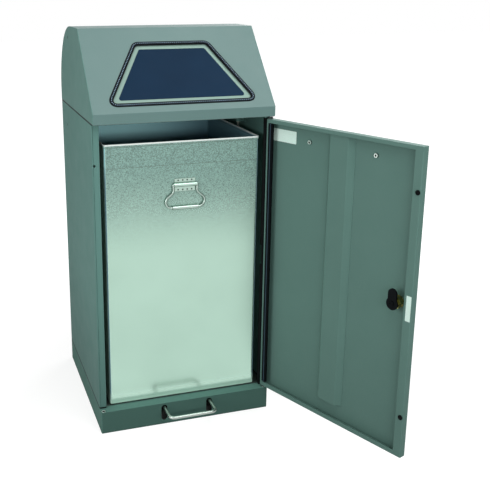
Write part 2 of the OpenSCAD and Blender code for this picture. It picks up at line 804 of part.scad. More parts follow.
// Hat-shaped rib down the middle of the door
module door_stiffener() {
    base = 69;
    crown = 45;
    rise = 11;
    // The sheet's thickness along the base and along the crown
    base_cut = 1.4 * sheet;
    crown_cut = 0.6 * sheet;
    outer = [[-base / 2, 0], [base / 2, 0], [crown / 2, rise], [-crown / 2, rise]];
    under = [[-base / 2 + base_cut, -1], [base / 2 - base_cut, -1], [base / 2 - base_cut, 0],
        [crown / 2 - crown_cut, rise - sheet], [-crown / 2 + crown_cut, rise - sheet],
        [-base / 2 + base_cut, 0]];
    color("slategray") on_door() translate([0, front_y + sheet, door_high - 9 - stiffener_h])
        linear_extrude(stiffener_h) difference() {
            polygon(outer);
            polygon(under);
        }
}

// Rubber strip pushed on the edge of the rim at the hinge side
module door_seal() {
    edge = door_x - door_rim_hinge;
    low = door_low + door_rim_bottom + 4;
    color([0.07, 0.07, 0.08]) on_door() translate([edge, door_in_y, low])
        linear_extrude(door_high - door_rim_top - low - 1) difference() {
            translate([-11, -sheet - 1.8]) square([12.5, sheet + 3.3]);
            translate([0, -sheet]) square([3, sheet]);
        }
}

// Flanged bushes that the door turns on
module door_bushes() {
    color("ivory") on_door() translate([pivot_x, pivot_y, 0]) {
        door_bush(door_low, door_bottom_gap - seat);
        translate([0, 0, door_high]) mirror([0, 0, 1]) door_bush(0, door_top_gap - 2.5);
    }
}

module door_bush(z, flange_h) {
    translate([0, 0, z]) difference() {
        union() {
            cylinder(h = 9, d = bush_d);
            translate([0, 0, -flange_h]) cylinder(h = flange_h, d = bush_flange_d);
        }
        translate([0, 0, -20]) cylinder(h = 40, d = hinge_pin_d + 2 * run_clear);
    }
}

module door_buffers() {
    head_t = door_gap - 0.4;
    color([0.07, 0.07, 0.08]) on_door() for (z = buffer_heights)
        translate([buffer_x, door_in_y - sheet, z]) rotate([-90, 0, 0]) {
            cylinder(h = sheet + head_t, d = buffer_d);
            translate([0, 0, sheet]) cylinder(h = head_t, d = buffer_d + 2);
            translate([0, 0, -3]) cylinder(h = 3, d1 = buffer_d - 2, d2 = buffer_d + 1);
        }
}

module door_stud_places() {
    for (x = [-1, 1])
        translate([x * stud_spacing / 2, front_y + sheet, stud_z]) rotate([-90, 0, 0]) children();
}

module door_studs() {
    color("silver") on_door() door_stud_places() {
        cylinder(h = stud_len, d = stud_d);
        cylinder(h = stud_weld_t, d = 9);
    }
}

module door_stud_nuts() {
    color("silver") on_door() door_stud_places() translate([0, 0, stud_weld_t]) difference() {
        cylinder(h = stud_nut_h, d = 9.2, $fn = 6);
        cylinder(h = 20, d = stud_d, center = true);
    }
}

// Cam lock

module lock_place(y) {
    on_door() translate([lock_x, y, lock_z]) rotate([-90, 0, 0]) children();
}

module lock_housing() {
    housing_end = cam_y - 0.4;
    color("goldenrod") difference() {
        union() {
            lock_place(front_y) cylinder(h = housing_end - front_y, d = lock_d);
            lock_place(front_y - 2) cylinder(h = 2, d = lock_d + 5);
        }
        lock_place(front_y - 5) cylinder(h = 40, d = plug_d + 2 * run_clear);
    }
}

module lock_nut() {
    color("goldenrod") lock_place(front_y + sheet) difference() {
        union() {
            cylinder(h = nut_h, d = 27, $fn = 6);
            cylinder(h = 1.2, d = 26);
        }
        cylinder(h = 3 * nut_h, d = lock_d, center = true);
    }
}

module lock_plug() {
    color("goldenrod") difference() {
        lock_place(front_y - 2.5) cylinder(h = cam_y - front_y + 2.5, d = plug_d);
        // Keyway
        lock_place(front_y - 3) translate([-1, -3.5, 0]) cube([2, 7, 9]);
    }
}

module lock_cam() {
    color([0.1, 0.1, 0.1]) lock_place(cam_y) linear_extrude(cam_t) difference() {
        union() {
            circle(d = cam_hub_d);
            translate([-cam_w / 2, -cam_len + cam_w / 2]) square([cam_w, cam_len - cam_w / 2]);
            translate([0, -cam_len + cam_w / 2]) circle(d = cam_w);
        }
        circle(d = 6);
    }
}

module lock_cam_screw() {
    color("silver") lock_place(cam_y + cam_t) {
        translate([0, 0, -cam_t]) cylinder(h = cam_t, d = 6);
        difference() {
            cylinder(h = 1.2, d = 10.5);
            translate([-6, -0.6, 0.6]) cube([12, 1.2, 2]);
        }
    }
}

// Flap, drawn shut

module flap_panel() {
    lap_r = inlet_r + flap_lap;
    color("lightgray") on_slope() {
        translate([0, 0, flap_face - flap_t]) linear_extrude(flap_t) inlet_outline(flap_lap, lap_r);
        // Edge folded down all round
        translate([0, 0, flap_face - flap_edge]) linear_extrude(flap_edge - flap_t) difference() {
            inlet_outline(flap_lap, lap_r);
            inlet_outline(flap_lap - sheet, lap_r - sheet);
        }
    }
}

module flap_film() {
    color("midnightblue") on_slope() translate([0, 0, flap_face]) linear_extrude(film_t)
        inlet_outline(-trim_bulge - film_margin, film_r);
}

module flap_lugs() {
    boss_r = axle_d / 2 + 4;
    root = 40;
    root_h = 6;
    under = flap_face - flap_t;
    edge_low = flap_face - flap_edge;
    outside = axle_s - inlet_start - inlet_len - flap_lap - seat;
    inside = outside + sheet + 2 * seat;
    color("lightgray") on_slope() for (side = [-1, 1])
        translate([side * lug_x - lug_t / 2, axle_s, 0]) rotate([90, 0, 90]) difference() {
            linear_extrude(lug_t) {
                translate([0, -axle_depth]) circle(boss_r);
                // From under the flap, below its folded edge and up to the boss
                polygon([[-root, under], [-inside, under], [-inside, edge_low], [-outside, edge_low],
                    [0, -axle_depth + boss_r], [0, -axle_depth - boss_r],
                    [-inside - root_h, -axle_depth - boss_r], [-root, under - root_h]]);
            }
            translate([0, -axle_depth, -1]) cylinder(h = lug_t + 2, d = axle_d);
        }
}

module flap_axle() {
    left = -bearing_x - 8;
    color("silver") on_slope() translate([left, axle_s, -axle_depth]) rotate([0, 90, 0])
        cylinder(h = arm_x + arm_t / 2 + 1 - left, d = axle_d);
}

// Arm with a hub on a shaft at the origin and a pin hole at its far end, in the YZ plane
module crank_arm(length, hub_r, tip_r, bore_d, pin_d, hub_t) {
    rotate([90, 0, 90]) difference() {
        union() {
            linear_extrude(arm_t, center = true) {
                circle(hub_r);
                translate([length, 0]) circle(tip_r);
                polygon([[0, -hub_r * 0.96], [length, -tip_r], [length, tip_r], [0, hub_r * 0.96]]);
            }
            translate([0, 0, -arm_t / 2 - hub_t]) cylinder(h = hub_t, r = hub_r);
        }
        cylinder(h = 60, d = bore_d, center = true);
        translate([length, 0, 0]) cylinder(h = 60, d = pin_d, center = true);
    }
}

module flap_crank() {
    color("silver") translate([arm_x, flap_axis_y, flap_axis_z]) rotate([crank_angle, 0, 0])
        crank_arm(crank_r, axle_d / 2 + 4, eye_pin_d / 2 + 3.5, axle_d, eye_pin_d, 4);
}

// Headed pin from the arm through the eye of the push rod
module eye_pin() {
    left = arm_x - arm_t / 2 - rod_x;
    right = eye_t / 2 + 0.6;
    rotate([0, 90, 0]) {
        translate([0, 0, left]) cylinder(h = right - left, d = eye_pin_d);
        translate([0, 0, right]) cylinder(h = pin_head_t, d = eye_pin_d + 3);
    }
}

module crank_pin() {
    color("silver") on_rod()
        translate([0, crank_r * cos(flap_open / 2) - crank_offset, rod_high]) eye_pin();
}

// Pedal

module pedal_bar() {
    bar_y = front_y - pedal_reach;
    collar_w = 9;
    leg_x = pedal_w / 2;
    color("lightgray") difference() {
        union() {
            translate([0, 0, pedal_z])
                bent_wire([[-leg_x, shaft_y], [-leg_x, bar_y], [leg_x, bar_y], [leg_x, shaft_y]], pedal_rod, 12);
            for (x = [-leg_x, leg_x])
                translate([x, shaft_y, shaft_z]) rotate([0, 90, 0])
                    cylinder(h = collar_w, d = shaft_d + 6, center = true);
        }
        translate([-pedal_w, shaft_y, shaft_z]) rotate([0, 90, 0]) cylinder(h = 2 * pedal_w, d = shaft_d);
    }
}

module pedal_shaft() {
    left = bracket_xs[0] - 8;
    color("silver") translate([left, shaft_y, shaft_z]) rotate([0, 90, 0])
        cylinder(h = arm_x + arm_t / 2 + 1 - left, d = shaft_d);
}

module lever_arm() {
    color("silver") translate([arm_x, shaft_y, shaft_z]) rotate([lever_angle, 0, 0])
        crank_arm(lever_len, shaft_d / 2 + 4.5, eye_pin_d / 2 + 3.5, shaft_d, eye_pin_d, 6);
}

module lever_pin() {
    color("silver") on_rod()
        translate([0, lever_len * cos(pedal_press / 2) - rod_offset, rod_low]) eye_pin();
}

// Push rod

module push_rod() {
    socket = eye_r - 2;
    color("lightgray") on_rod() translate([0, 0, rod_low + socket])
        cylinder(h = rod_high - rod_low - 2 * socket, d = rod_d);
}

// Forged eye with a slot across the rod, so that the pin's arc has room
module rod_end(slack) {
    half_slot = slack + eye_clear;
    hole_r = eye_pin_d / 2 + eye_clear;
    difference() {
        union() {
            rotate([90, 0, 90]) linear_extrude(eye_t, center = true) {
                circle(eye_r);
                translate([-half_slot, -eye_r]) square([2 * half_slot, 2 * eye_r]);
                for (s = [-1, 1]) translate([s * half_slot, 0]) circle(eye_r);
            }
            translate([0, 0, neck_low]) cylinder(h = neck_high - neck_low, d = neck_d);
        }
        rotate([90, 0, 90]) linear_extrude(eye_t + 6, center = true) {
            translate([-half_slot, -hole_r]) square([2 * half_slot, 2 * hole_r]);
            for (s = [-1, 1]) translate([s * half_slot, 0]) circle(hole_r);
        }
        translate([0, 0, eye_r - 2]) cylinder(h = neck_high, d = rod_d);
    }
}

module rod_end_bottom() {
    color("silver") on_rod() translate([0, 0, rod_low]) rod_end(lever_len * (1 - cos(pedal_press / 2)) / 2);
}

module rod_end_top() {
    color("silver") on_rod() translate([0, 0, rod_high]) mirror([0, 0, 1])
        rod_end(crank_r * (1 - cos(flap_open / 2)) / 2);
}

module spring_collar() {
    color("silver") on_rod() translate([0, 0, spring_high]) difference() {
        union() {
            cylinder(h = 10, d = rod_d + 8, center = true);
            translate([-7, 0, -3]) cube([3, spring_w + peg_d / 2 + 2, 6]);
            translate([-7, spring_w, 0]) rotate([0, 90, 0]) cylinder(h = 13, d = peg_d);
            translate([4.5, spring_w, 0]) rotate([0, 90, 0]) cylinder(h = 1.5, d = peg_d + 3);
        }
        cylinder(h = 30, d = rod_d, center = true);
    }
}

// Container and its drop handle

module container() {
    mid_y = container_front_y + container_d / 2;
    color("lightcyan") translate([0, mid_y, container_z]) difference() {
        union() {
            linear_extrude(container_h) rounded_rect(container_w, container_d, container_r);
            translate([0, 0, container_h - rim_h]) linear_extrude(rim_h)
                rounded_rect(container_w + 2 * rim_out, container_d + 2 * rim_out, container_r + rim_out);
        }
        translate([0, 0, container_wall]) linear_extrude(container_h)
            rounded_rect(container_w - 2 * container_wall, container_d - 2 * container_wall, container_r - container_wall);
    }
}

// Plate on the container with a rolled barrel that holds the wire
module handle_bracket() {
    dimple_x = bracket_w / 4.6;
    dimple_z = bracket_h / 2 - 3.5;
    color("gainsboro") translate([handle_offset, container_front_y, handle_z]) difference() {
        union() {
            translate([-bracket_w / 2, -bracket_t, -bracket_h / 2 - 1]) cube([bracket_w, bracket_t, bracket_h]);
            translate([-barrel_l / 2, bail_y - container_front_y, 0]) rotate([0, 90, 0])
                cylinder(h = barrel_l, d = barrel_d);
            translate([-barrel_l / 2, bail_y - container_front_y, -barrel_d / 2 + 1])
                cube([barrel_l, container_front_y - bail_y - 0.3, barrel_d - 2]);
        }
        // Dimples of the spot welds
        for (x = [-1.5 : 1 : 1.5], z = [-1, 1])
            translate([x * dimple_x, -bracket_t, z * dimple_z - 1]) rotate([90, 0, 0])
                cylinder(h = 1.4, d = 3.2, center = true);
        translate([-barrel_l, bail_y - container_front_y, 0]) rotate([0, 90, 0])
            cylinder(h = 2 * barrel_l, d = bail_wire + 2 * run_clear);
    }
}

// Wire handle: from inside the barrel out, down, round the widest place and along the grip
module handle_bail() {
    tail_x = 9;
    top_x = barrel_l / 2 + bail_bend + 0.7;
    neck = [top_x - 0.8, -15];
    elbow = [bail_wide, -36];
    foot = [grip_l / 2 + 9, -bail_drop];
    half = [[tail_x, 0], [top_x, 0], neck, elbow, foot];
    mirrored = [for (i = [len(half) - 1 : -1 : 0]) [-half[i].x, half[i].y]];
    color("gainsboro") translate([handle_offset, bail_y, handle_z]) rotate([90, 0, 0])
        bent_wire(concat(half, mirrored), bail_wire, bail_bend);
}

module handle_grip() {
    color("gainsboro") translate([handle_offset, bail_y, handle_z - bail_drop]) rotate([0, 90, 0])
        difference() {
            cylinder(h = grip_l, d = bail_wire + 3.4, center = true);
            cylinder(h = grip_l + 2, d = bail_wire, center = true);
        }
}

plinth();
floor_plate();
cabinet_shell();
hood_cover();
hood_cheek_left();
hood_cheek_right();
hood_straps();
strap_rivets();
floor_screws();
inlet_edge_trim();
flap_bearings();
flap_bushes();
door_pin_lower();
door_pin_upper();
pedal_brackets();
pedal_bushes();
bracket_screws();
rod_guides();
rod_guide_bushes();
spring_anchor();
return_spring();
door_panel();
door_stiffener();
door_seal();
door_bushes();
door_buffers();
door_studs();
door_stud_nuts();
lock_housing();
lock_nut();
lock_plug();
lock_cam();
lock_cam_screw();
flap_panel();
flap_film();
flap_lugs();
flap_axle();
flap_crank();
crank_pin();
pedal_bar();
pedal_shaft();
lever_arm();
lever_pin();
push_rod();
rod_end_top();
rod_end_bottom();
spring_collar();
container();
handle_bracket();
handle_bail();
handle_grip();
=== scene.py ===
# Looks of the pedal recycling bin: finishes, rubber edging, bare labels, light and camera.
# Everything is in metres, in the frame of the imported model: X right, Y back, Z up.
import math

import bmesh
import bpy
from mathutils import Matrix, Vector


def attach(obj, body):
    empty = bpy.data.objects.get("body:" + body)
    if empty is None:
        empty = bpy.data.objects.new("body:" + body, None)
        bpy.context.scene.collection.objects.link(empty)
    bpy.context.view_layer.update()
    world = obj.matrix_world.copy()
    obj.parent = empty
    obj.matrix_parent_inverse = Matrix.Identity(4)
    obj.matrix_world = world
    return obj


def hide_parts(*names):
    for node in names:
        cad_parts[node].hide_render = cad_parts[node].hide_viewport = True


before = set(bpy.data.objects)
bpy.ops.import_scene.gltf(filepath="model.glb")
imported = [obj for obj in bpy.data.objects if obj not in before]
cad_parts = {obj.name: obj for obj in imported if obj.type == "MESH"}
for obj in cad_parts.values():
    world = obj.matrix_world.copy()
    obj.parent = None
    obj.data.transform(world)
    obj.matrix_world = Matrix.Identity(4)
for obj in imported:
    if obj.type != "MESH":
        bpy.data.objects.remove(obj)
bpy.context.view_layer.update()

MM = 0.001

# Sizes shared with the sheet metal
FRONT_Y = -0.200
SEAM_Z = 0.700
PLINTH_TOP_Z = 0.052
LIP_TOP_Z = 0.722
SLOPE_RISE = 163
SLOPE_RUN = 148
SLOPE_ANGLE = math.atan(SLOPE_RISE / SLOPE_RUN)
SHEET = 1.2 * MM

# Dark sheet in the gap between body and hood, standing in for its shade: its gap, width and places on the
# edge of the sheet
SEAM_GAP = 1.5 * MM
STRIP_WIDTH = 0.7 * MM
STRIP_HALF_X = 0.1997
STRIP_FRONT_Y = -0.178
STRIP_BACK_Y = 0.1997
STRIP_BEND = 2.0 * MM

# Blind rivets on the plinth's ledge: their place, the collar's section as radius and rise in mm, and the
# black disc that stands in for the shade in the bore
RIVET_X = 0.1935
RIVET_Y = -0.194
RIVET_COLLAR = [(3.2, 0.0), (3.2, 0.15), (3.8, 0.30), (4.6, 0.20), (5.1, 0.0)]
RIVET_BORE_RADIUS = 3.25 * MM
RIVET_BORE_RISE = 0.1 * MM
ROUND_STEPS = 24

# Inlet, as half widths and places along the slope from the lip's fold
INLET_START = 24 * MM
INLET_LENGTH = 149 * MM
INLET_LOW_HALF = 157.5 * MM
INLET_HIGH_HALF = 80 * MM

# Rubber edging of the inlet: its reach over the sheet and its corners, and how near vertices are joined
TRIM_COVER = 8 * MM
TRIM_RADIUS = 18 * MM
TRIM_JOIN = 0.02 * MM

# Ribs on the edging's middle band, and their top's share of their size
RIB_PITCH = 4.4 * MM
RIB_LENGTH = 0.55 * RIB_PITCH
RIB_WIDTH = 2.0 * MM
RIB_RISE = 1.0 * MM
RIB_TOP_SHARE = (0.55, 0.75, 1)

# The edging's section from its outer lip to the inlet: width and rise in mm, and whether it is ribbed
TRIM_SECTION = [
    (0.3, 0.9, False), (0.6, 0.6, False), (1.4, 0.1, False), (0.6, -0.5, False),
    (0.2, 0.5, True), (2.3, 0.1, True), (0.2, -0.5, True),
    (0.4, 0.4, False), (1.3, -0.1, False), (0.9, -0.4, False), (0.6, -0.7, False), (0.2, -1.0, False),
]

# A ribbed step narrower than this, in mm, is an edge of the band
BAND_EDGE_WIDTH = 1

# Door, drawn open on its pivot
DOOR_PIVOT = Vector((0.1935, -0.190, 0))
DOOR_OPEN = math.radians(112.4)
DOOR_HALF = 0.199
DOOR_SKIN_Y = FRONT_Y + SHEET
DOOR_RIM_Y = FRONT_Y + 16.5 * MM
SEAL_MIDDLE_X = 185.6 * MM

# Bare labels on the door in mm: from and to across it from its hinge edge, then from and to in height
LABEL_WIDE = (9, 75, 646, 673)
LABEL_TALL = (385, 396, 350, 402)
LABEL_THICK = 0.25 * MM

# Painted shadow, near black, on the flange of the hinge side
HINGE_SHADOW_X = 181 * MM
HINGE_SHADOW_HALF = 11 * MM
HINGE_SHADOW_BACK_Y = -0.160
HINGE_SHADOW_TOP_Z = SEAM_Z - 6 * MM
HINGE_SHADOW_FOOT_Z = PLINTH_TOP_Z + 1 * MM
HINGE_SHADOW_BLUR = 1 * MM

# Container: its outside, and the depths in its walls where the outside's finish turns to the inside's
CONTAINER_TOP_Z = 0.6538
CONTAINER_FRONT_Y = -0.174
CONTAINER_BACK_Y = 0.166
CONTAINER_HALF = 0.174
WALL_SKIN = 0.6 * MM
WALL_DEPTH = 0.9 * MM

# Its rim with a painted highlight on its bead, the crease below it, and the painted shade line that each
# leaves
RIM_HEIGHT = 6 * MM
BEAD_HEIGHT = 3.4 * MM
CREASE_Z = 0.602
FOLD_LINE_HALF = 0.3 * MM
FOLD_LINE_BLUR = 0.9 * MM

# Where its crystals and their painted shade fade, the calm zinc takes on painted shade half way up, the foot
# is painted bright, and the painted light inside fades
CRYSTALS_FADE_Z = (0.400, 0.635)
CALM_ZONE_Z = (0.12, 0.36)
BRIGHT_FOOT_Z = (0.058, 0.086)
LIT_INSIDE_X = (-0.05, 0.16)
LIT_INSIDE_Z = (0.575, 0.615)
CRYSTAL_BLUE = (0.275, 0.455, 0.40, 1)
INSIDE_DULL = (0.10, 0.20, 0.27, 1)
INSIDE_PAINTED_LIGHT = (0.44, 0.84, 0.87, 1)
RIM_HIGHLIGHT_WHITE = (0.80, 0.86, 0.83, 1)

# Drop handle's pivot in the container's front, its wire, and the spot welds of its bracket
HANDLE_X = 0.003
HANDLE_Y = -0.1786
HANDLE_Z = 0.5578
WIRE_D = 5 * MM
WELD_PITCH = 47 / 4.6 * MM
WELD_ROW = 10.5 * MM
WELD_MIDDLE_Z = HANDLE_Z - 1 * MM
WELD_D = 3.2 * MM

# Half of the handle's wire in mm from its pivot, as X and Z: out, down, round its widest place and in again
WIRE_HALF = [(10, 0), (20, 0), (27.5, 0), (27.5, 0), (26.8, -8), (26.5, -16), (34, -23), (42, -29),
             (45, -38), (41, -47), (34, -51), (28, -51), (10, -51)]

# Heights between which painted shade darkens the paint towards the floor, and what counts as facing the
# front
SHADE_FROM_Z = 0.30
SHADE_FULL_Z = 0.06
FACING_FRONT = (-0.95, -0.80)

# Painted shade lines at the seam and at the foot of the body, by their middle and half their width
SEAM_LINE_Z = SEAM_Z - 0.9 * MM
SEAM_LINE_HALF = 1.2 * MM
FOOT_LINE_Z = PLINTH_TOP_Z + 1.2 * MM
FOOT_LINE_HALF = 2.4 * MM

# How fine the patterns of the finishes are, as scales in a metre
PAINT_CLOUDS = 4
PAINT_SHADE_PATCHES = 14
PAINT_SPECKS = 700
PAINT_PEEL = 420
PAINT_DULL_PATCHES = 26
ZINC_CLOUDS = 6
ZINC_CRYSTALS = 640
ZINC_GRAIN = 1500
METAL_CLOUDS = 18
WELDED_GRAIN = 700
PLASTIC_CLOUDS = 30
SEAL_SKIN = 500
FILM_CLOUDS = 9
FILM_DULL_PATCHES = 60
FILM_SKIN = 300
PAPER_FIBRE = 500

# Floor: half its width, its squares, its colour, and half the dark square under the plinth with its blur
FLOOR_HALF = 12
FLOOR_SQUARES = 8
FLOOR_COLOUR = (0.30, 0.305, 0.30, 1)
UNDER_PLINTH = 0.193
UNDER_PLINTH_BLUR = 4 * MM

# The floor's glow near the object and further away, and the distances where each holds
FLOOR_GLOW = (0.80, 1.05)
FLOOR_GLOW_FROM = (0.35, 1.3)

# Light: the strength all round, then each lamp's name, place, aim, size, power and whether it is mirrored
WORLD_LIGHT = 0.28
LAMPS = [
    ("left", (-1.45, -0.85, 0.85), (0, -0.1, 0.5), (0.9, 1.0), 12.0, True),
    ("front_top", (0.20, -1.25, 1.80), (0, -0.1, 0.5), (1.3, 1.0), 11, True),
    ("top", (0.60, -0.50, 2.30), (0, -0.1, 0.7), (1.2, 1.2), 12, True),
    ("front", (0.20, -2.60, 1.00), (0, -0.1, 0.5), (1.8, 0.22), 19, False),
    ("back_right", (1.5, 1.5, 1.5), (0, 0, 0.5), (1.2, 1.2), 24, True),
]

# The photograph's view
CAMERA_PLACE = Vector((-0.4948, -1.7691, 0.9808))
CAMERA_YAW = -0.3028
CAMERA_PITCH = 0.2619
CAMERA_LENS = 58.36
CAMERA_SENSOR = 36
CAMERA_SHIFT = (0.12245, -0.10204)


# Helpers for meshes

def srgb(red, green, blue):
    """Linear colour of an 8-bit sRGB colour."""
    def linear(c):
        c /= 255
        return c / 12.92 if c <= 0.04045 else ((c + 0.055) / 1.055) ** 2.4
    return (linear(red), linear(green), linear(blue), 1)


def shade(colour, factor):
    """The same colour, lighter or darker."""
    return tuple(min(c * factor, 1) for c in colour[:3]) + (1,)


def make_object(name, bm, *materials):
    """Turns a bmesh into an object at the origin with its materials."""
    mesh = bpy.data.meshes.new(name)
    bm.to_mesh(mesh)
    bm.free()
    made = bpy.data.objects.new(name, mesh)
    bpy.context.scene.collection.objects.link(made)
    for material in materials:
        mesh.materials.append(material)
    return made


def shade_smooth(made, material_index=None):
    """Smooth shading on every face, or only on the faces of one material."""
    for polygon in made.data.polygons:
        polygon.use_smooth = material_index in (None, polygon.material_index)


def everything(bm):
    """All vertices, edges and faces, for the operators that ask for them."""
    return bm.verts[:] + bm.edges[:] + bm.faces[:]


def extrude_flat(bm, move):
    """Gives a flat sheet its thickness along move."""
    out = bmesh.ops.extrude_face_region(bm, geom=bm.faces[:])
    moved = [item for item in out["geom"] if isinstance(item, bmesh.types.BMVert)]
    bmesh.ops.translate(bm, verts=moved, vec=move)
    bmesh.ops.recalc_face_normals(bm, faces=bm.faces)


def mirror_through_sheet(bm, merge_dist):
    """Repeats what lies on the slope's outer face on its inner face."""
    bmesh.ops.translate(bm, verts=bm.verts, vec=(0, 0, SHEET / 2))
    bmesh.ops.mirror(bm, geom=everything(bm), merge_dist=merge_dist, axis="Z")
    bmesh.ops.translate(bm, verts=bm.verts, vec=(0, 0, -SHEET / 2))


def slope_matrix():
    """From the slope's own frame to the model: X as it is, Y up the slope, Z out of its face."""
    place = Matrix.Translation((0, FRONT_Y, LIP_TOP_Z))
    return place @ Matrix.Rotation(SLOPE_ANGLE, 4, "X")


def door_matrix():
    """Swings what is drawn on the shut door to the drawn position."""
    there = Matrix.Translation(DOOR_PIVOT)
    return there @ Matrix.Rotation(DOOR_OPEN, 4, "Z") @ there.inverted()


# Helpers for materials

def node(tree, kind, inputs=None, **settings):
    """Adds a node. Each input is given a value, or the socket it is linked to."""
    made = tree.nodes.new("ShaderNode" + kind)
    for name, value in settings.items():
        setattr(made, name, value)
    for name, value in (inputs or {}).items():
        socket = made.inputs[name]
        if isinstance(value, bpy.types.NodeSocket):
            tree.links.new(value, socket)
        else:
            socket.default_value = value
    return made


def start_material(name, **constants):
    """A material with a Principled shader, whose constant values sit on its own sockets."""
    material = bpy.data.materials.new(name)
    material.use_nodes = True
    tree = material.node_tree
    tree.nodes.clear()
    shader = node(tree, "BsdfPrincipled")
    for socket, value in constants.items():
        shader.inputs[socket.replace("_", " ")].default_value = value
    node(tree, "OutputMaterial", {"Surface": shader.outputs["BSDF"]})
    place = node(tree, "TexCoord").outputs["Object"]
    return material, tree, shader, place


def noise(tree, place, scale, detail=2, roughness=0.5):
    """Soft noise of about 0 to 1, mostly between 0.3 and 0.7."""
    inputs = {"Vector": place, "Scale": scale, "Detail": detail, "Roughness": roughness}
    return node(tree, "TexNoise", inputs).outputs["Fac"]


def between(tree, value, low, high, from_low=0.3, from_high=0.7, way="LINEAR"):
    """Low where a value is at from_low, high at from_high, and in between on the way."""
    inputs = {"Value": value, "From Min": from_low, "From Max": from_high, "To Min": low, "To Max": high}
    return node(tree, "MapRange", inputs, interpolation_type=way).outputs["Result"]


def math_node(tree, operation, first, second=0.0):
    made = node(tree, "Math", {0: first, 1: second}, operation=operation)
    return made.outputs["Value"]


def times(tree, first, *others):
    """Product of values."""
    for other in others:
        first = math_node(tree, "MULTIPLY", first, other)
    return first


def inverse(tree, value):
    """1 minus a value."""
    return math_node(tree, "SUBTRACT", 1.0, value)


def distance(tree, value, middle):
    """How far a value lies from a middle, to either side."""
    return math_node(tree, "ABSOLUTE", math_node(tree, "SUBTRACT", value, middle))


def axes_of(tree, vector):
    """A vector's parts by the name of their axis."""
    return node(tree, "SeparateXYZ", {"Vector": vector}).outputs


def facing_of(tree):
    """Which way a surface faces, by axis."""
    return axes_of(tree, node(tree, "NewGeometry").outputs["Normal"])


def mix_colour(tree, share, first, second):
    """The first colour where the share is 0, the second where it is 1."""
    made = node(tree, "Mix", data_type="RGBA")
    for socket, value in (("Factor_Float", share), ("A_Color", first), ("B_Color", second)):
        socket = next(s for s in made.inputs if s.identifier == socket)
        if isinstance(value, bpy.types.NodeSocket):
            tree.links.new(value, socket)
        else:
            socket.default_value = value
    return next(s for s in made.outputs if s.identifier == "Result_Color")


def edge_mask(tree, radius, gain):
    """0 on a face and towards 1 along its sharp edges, where wear and painted highlights are drawn."""
    rounded = node(tree, "Bevel", {"Radius": radius}, samples=4).outputs["Normal"]
    flat = node(tree, "NewGeometry").outputs["Normal"]
    meet = node(tree, "VectorMath", {0: rounded, 1: flat}, operation="DOT_PRODUCT").outputs["Value"]
    made = node(tree, "Math", {0: inverse(tree, meet), 1: gain}, operation="MULTIPLY", use_clamp=True)
    return made.outputs["Value"]


def band(tree, value, middle, half, blur):
    """1 where a value lies within half of the middle, and 0 beyond a blurred border."""
    return between(tree, distance(tree, value, middle), 1, 0, half, half + blur)


def crevice(tree, reach):
    """Towards 1 where a surface lies close to another one, in gaps, holes and inside corners, where shade
    falls.
    """
    open_share = node(tree, "AmbientOcclusion", {"Distance": reach}, samples=4).outputs["AO"]
    return between(tree, open_share, 1, 0, 0.25, 0.95)


def relief(tree, shader, height, strength, depth, rounding=None):
    """Bump from a height, and edges that look rounded where a radius is given."""
    inputs = {"Strength": strength, "Distance": depth, "Height": height}
    if rounding:
        inputs["Normal"] = node(tree, "Bevel", {"Radius": rounding}, samples=4).outputs["Normal"]
    tree.links.new(node(tree, "Bump", inputs).outputs["Normal"], shader.inputs["Normal"])


# Powder coat

def hinge_flange_shadow(tree, place):
    """1 on the painted shadow along the hinge side's front flange, and 0 elsewhere."""
    axes = axes_of(tree, place)
    across = band(tree, axes["X"], HINGE_SHADOW_X, HINGE_SHADOW_HALF, 0.3 * MM)
    back, top, foot = HINGE_SHADOW_BACK_Y, HINGE_SHADOW_TOP_Z, HINGE_SHADOW_FOOT_Z
    before_back = between(tree, axes["Y"], 1, 0, back, back + HINGE_SHADOW_BLUR)
    below_top = between(tree, axes["Z"], 1, 0, top, top + HINGE_SHADOW_BLUR)
    above_foot = between(tree, axes["Z"], 0, 1, foot, foot + HINGE_SHADOW_BLUR)
    return times(tree, across, before_back, below_top, above_foot)


def painted_shade_near_floor(tree, place, base, colour, painted_foot_shade, painted_front_shade):
    """Painted shade: upright faces darken towards the floor, and a front darkens in patches."""
    facing = facing_of(tree)
    upright = inverse(tree, math_node(tree, "ABSOLUTE", facing["Z"]))
    height = axes_of(tree, place)["Z"]
    near_floor = times(tree, upright, between(tree, height, 0, 1, SHADE_FROM_Z, SHADE_FULL_Z))
    # Painted shade on upright faces towards the floor
    base = mix_colour(tree, near_floor, base, shade(colour, painted_foot_shade))
    # Painted shade on the front, in patches
    if painted_front_shade < 1:
        front = between(tree, facing["Y"], 1, 0, *FACING_FRONT)
        shade_patches = between(tree, noise(tree, place, PAINT_SHADE_PATCHES, 4), 0.90, 1.0)
        base = mix_colour(tree, times(tree, front, shade_patches), base, shade(colour, painted_front_shade))
    return base


def painted_joint_shade(tree, place, base, colour, crevice_shade_share, hinge_and_foot_shade):
    """Painted shade in the seam and in crevices, and on the body a painted shadow on the hinge side's flange
    and a painted shade line at its foot.
    """
    height = axes_of(tree, place)["Z"]
    # Painted shade along the seam and in crevices
    seam = band(tree, height, SEAM_LINE_Z, SEAM_LINE_HALF, 0.5 * MM)
    joint_shade = math_node(tree, "MAXIMUM", seam, times(tree, crevice(tree, 5 * MM), crevice_shade_share))
    base = mix_colour(tree, joint_shade, base, shade(colour, 0.12))
    if hinge_and_foot_shade:
        # Painted shadow, near black, on the hinge side's flange
        base = mix_colour(tree, hinge_flange_shadow(tree, place), base, srgb(7, 11, 12))
        # Painted shade line where the body meets the plinth
        foot = band(tree, height, FOOT_LINE_Z, FOOT_LINE_HALF, 0.4 * MM)
        base = mix_colour(tree, foot, base, shade(colour, 0.05))
    return base


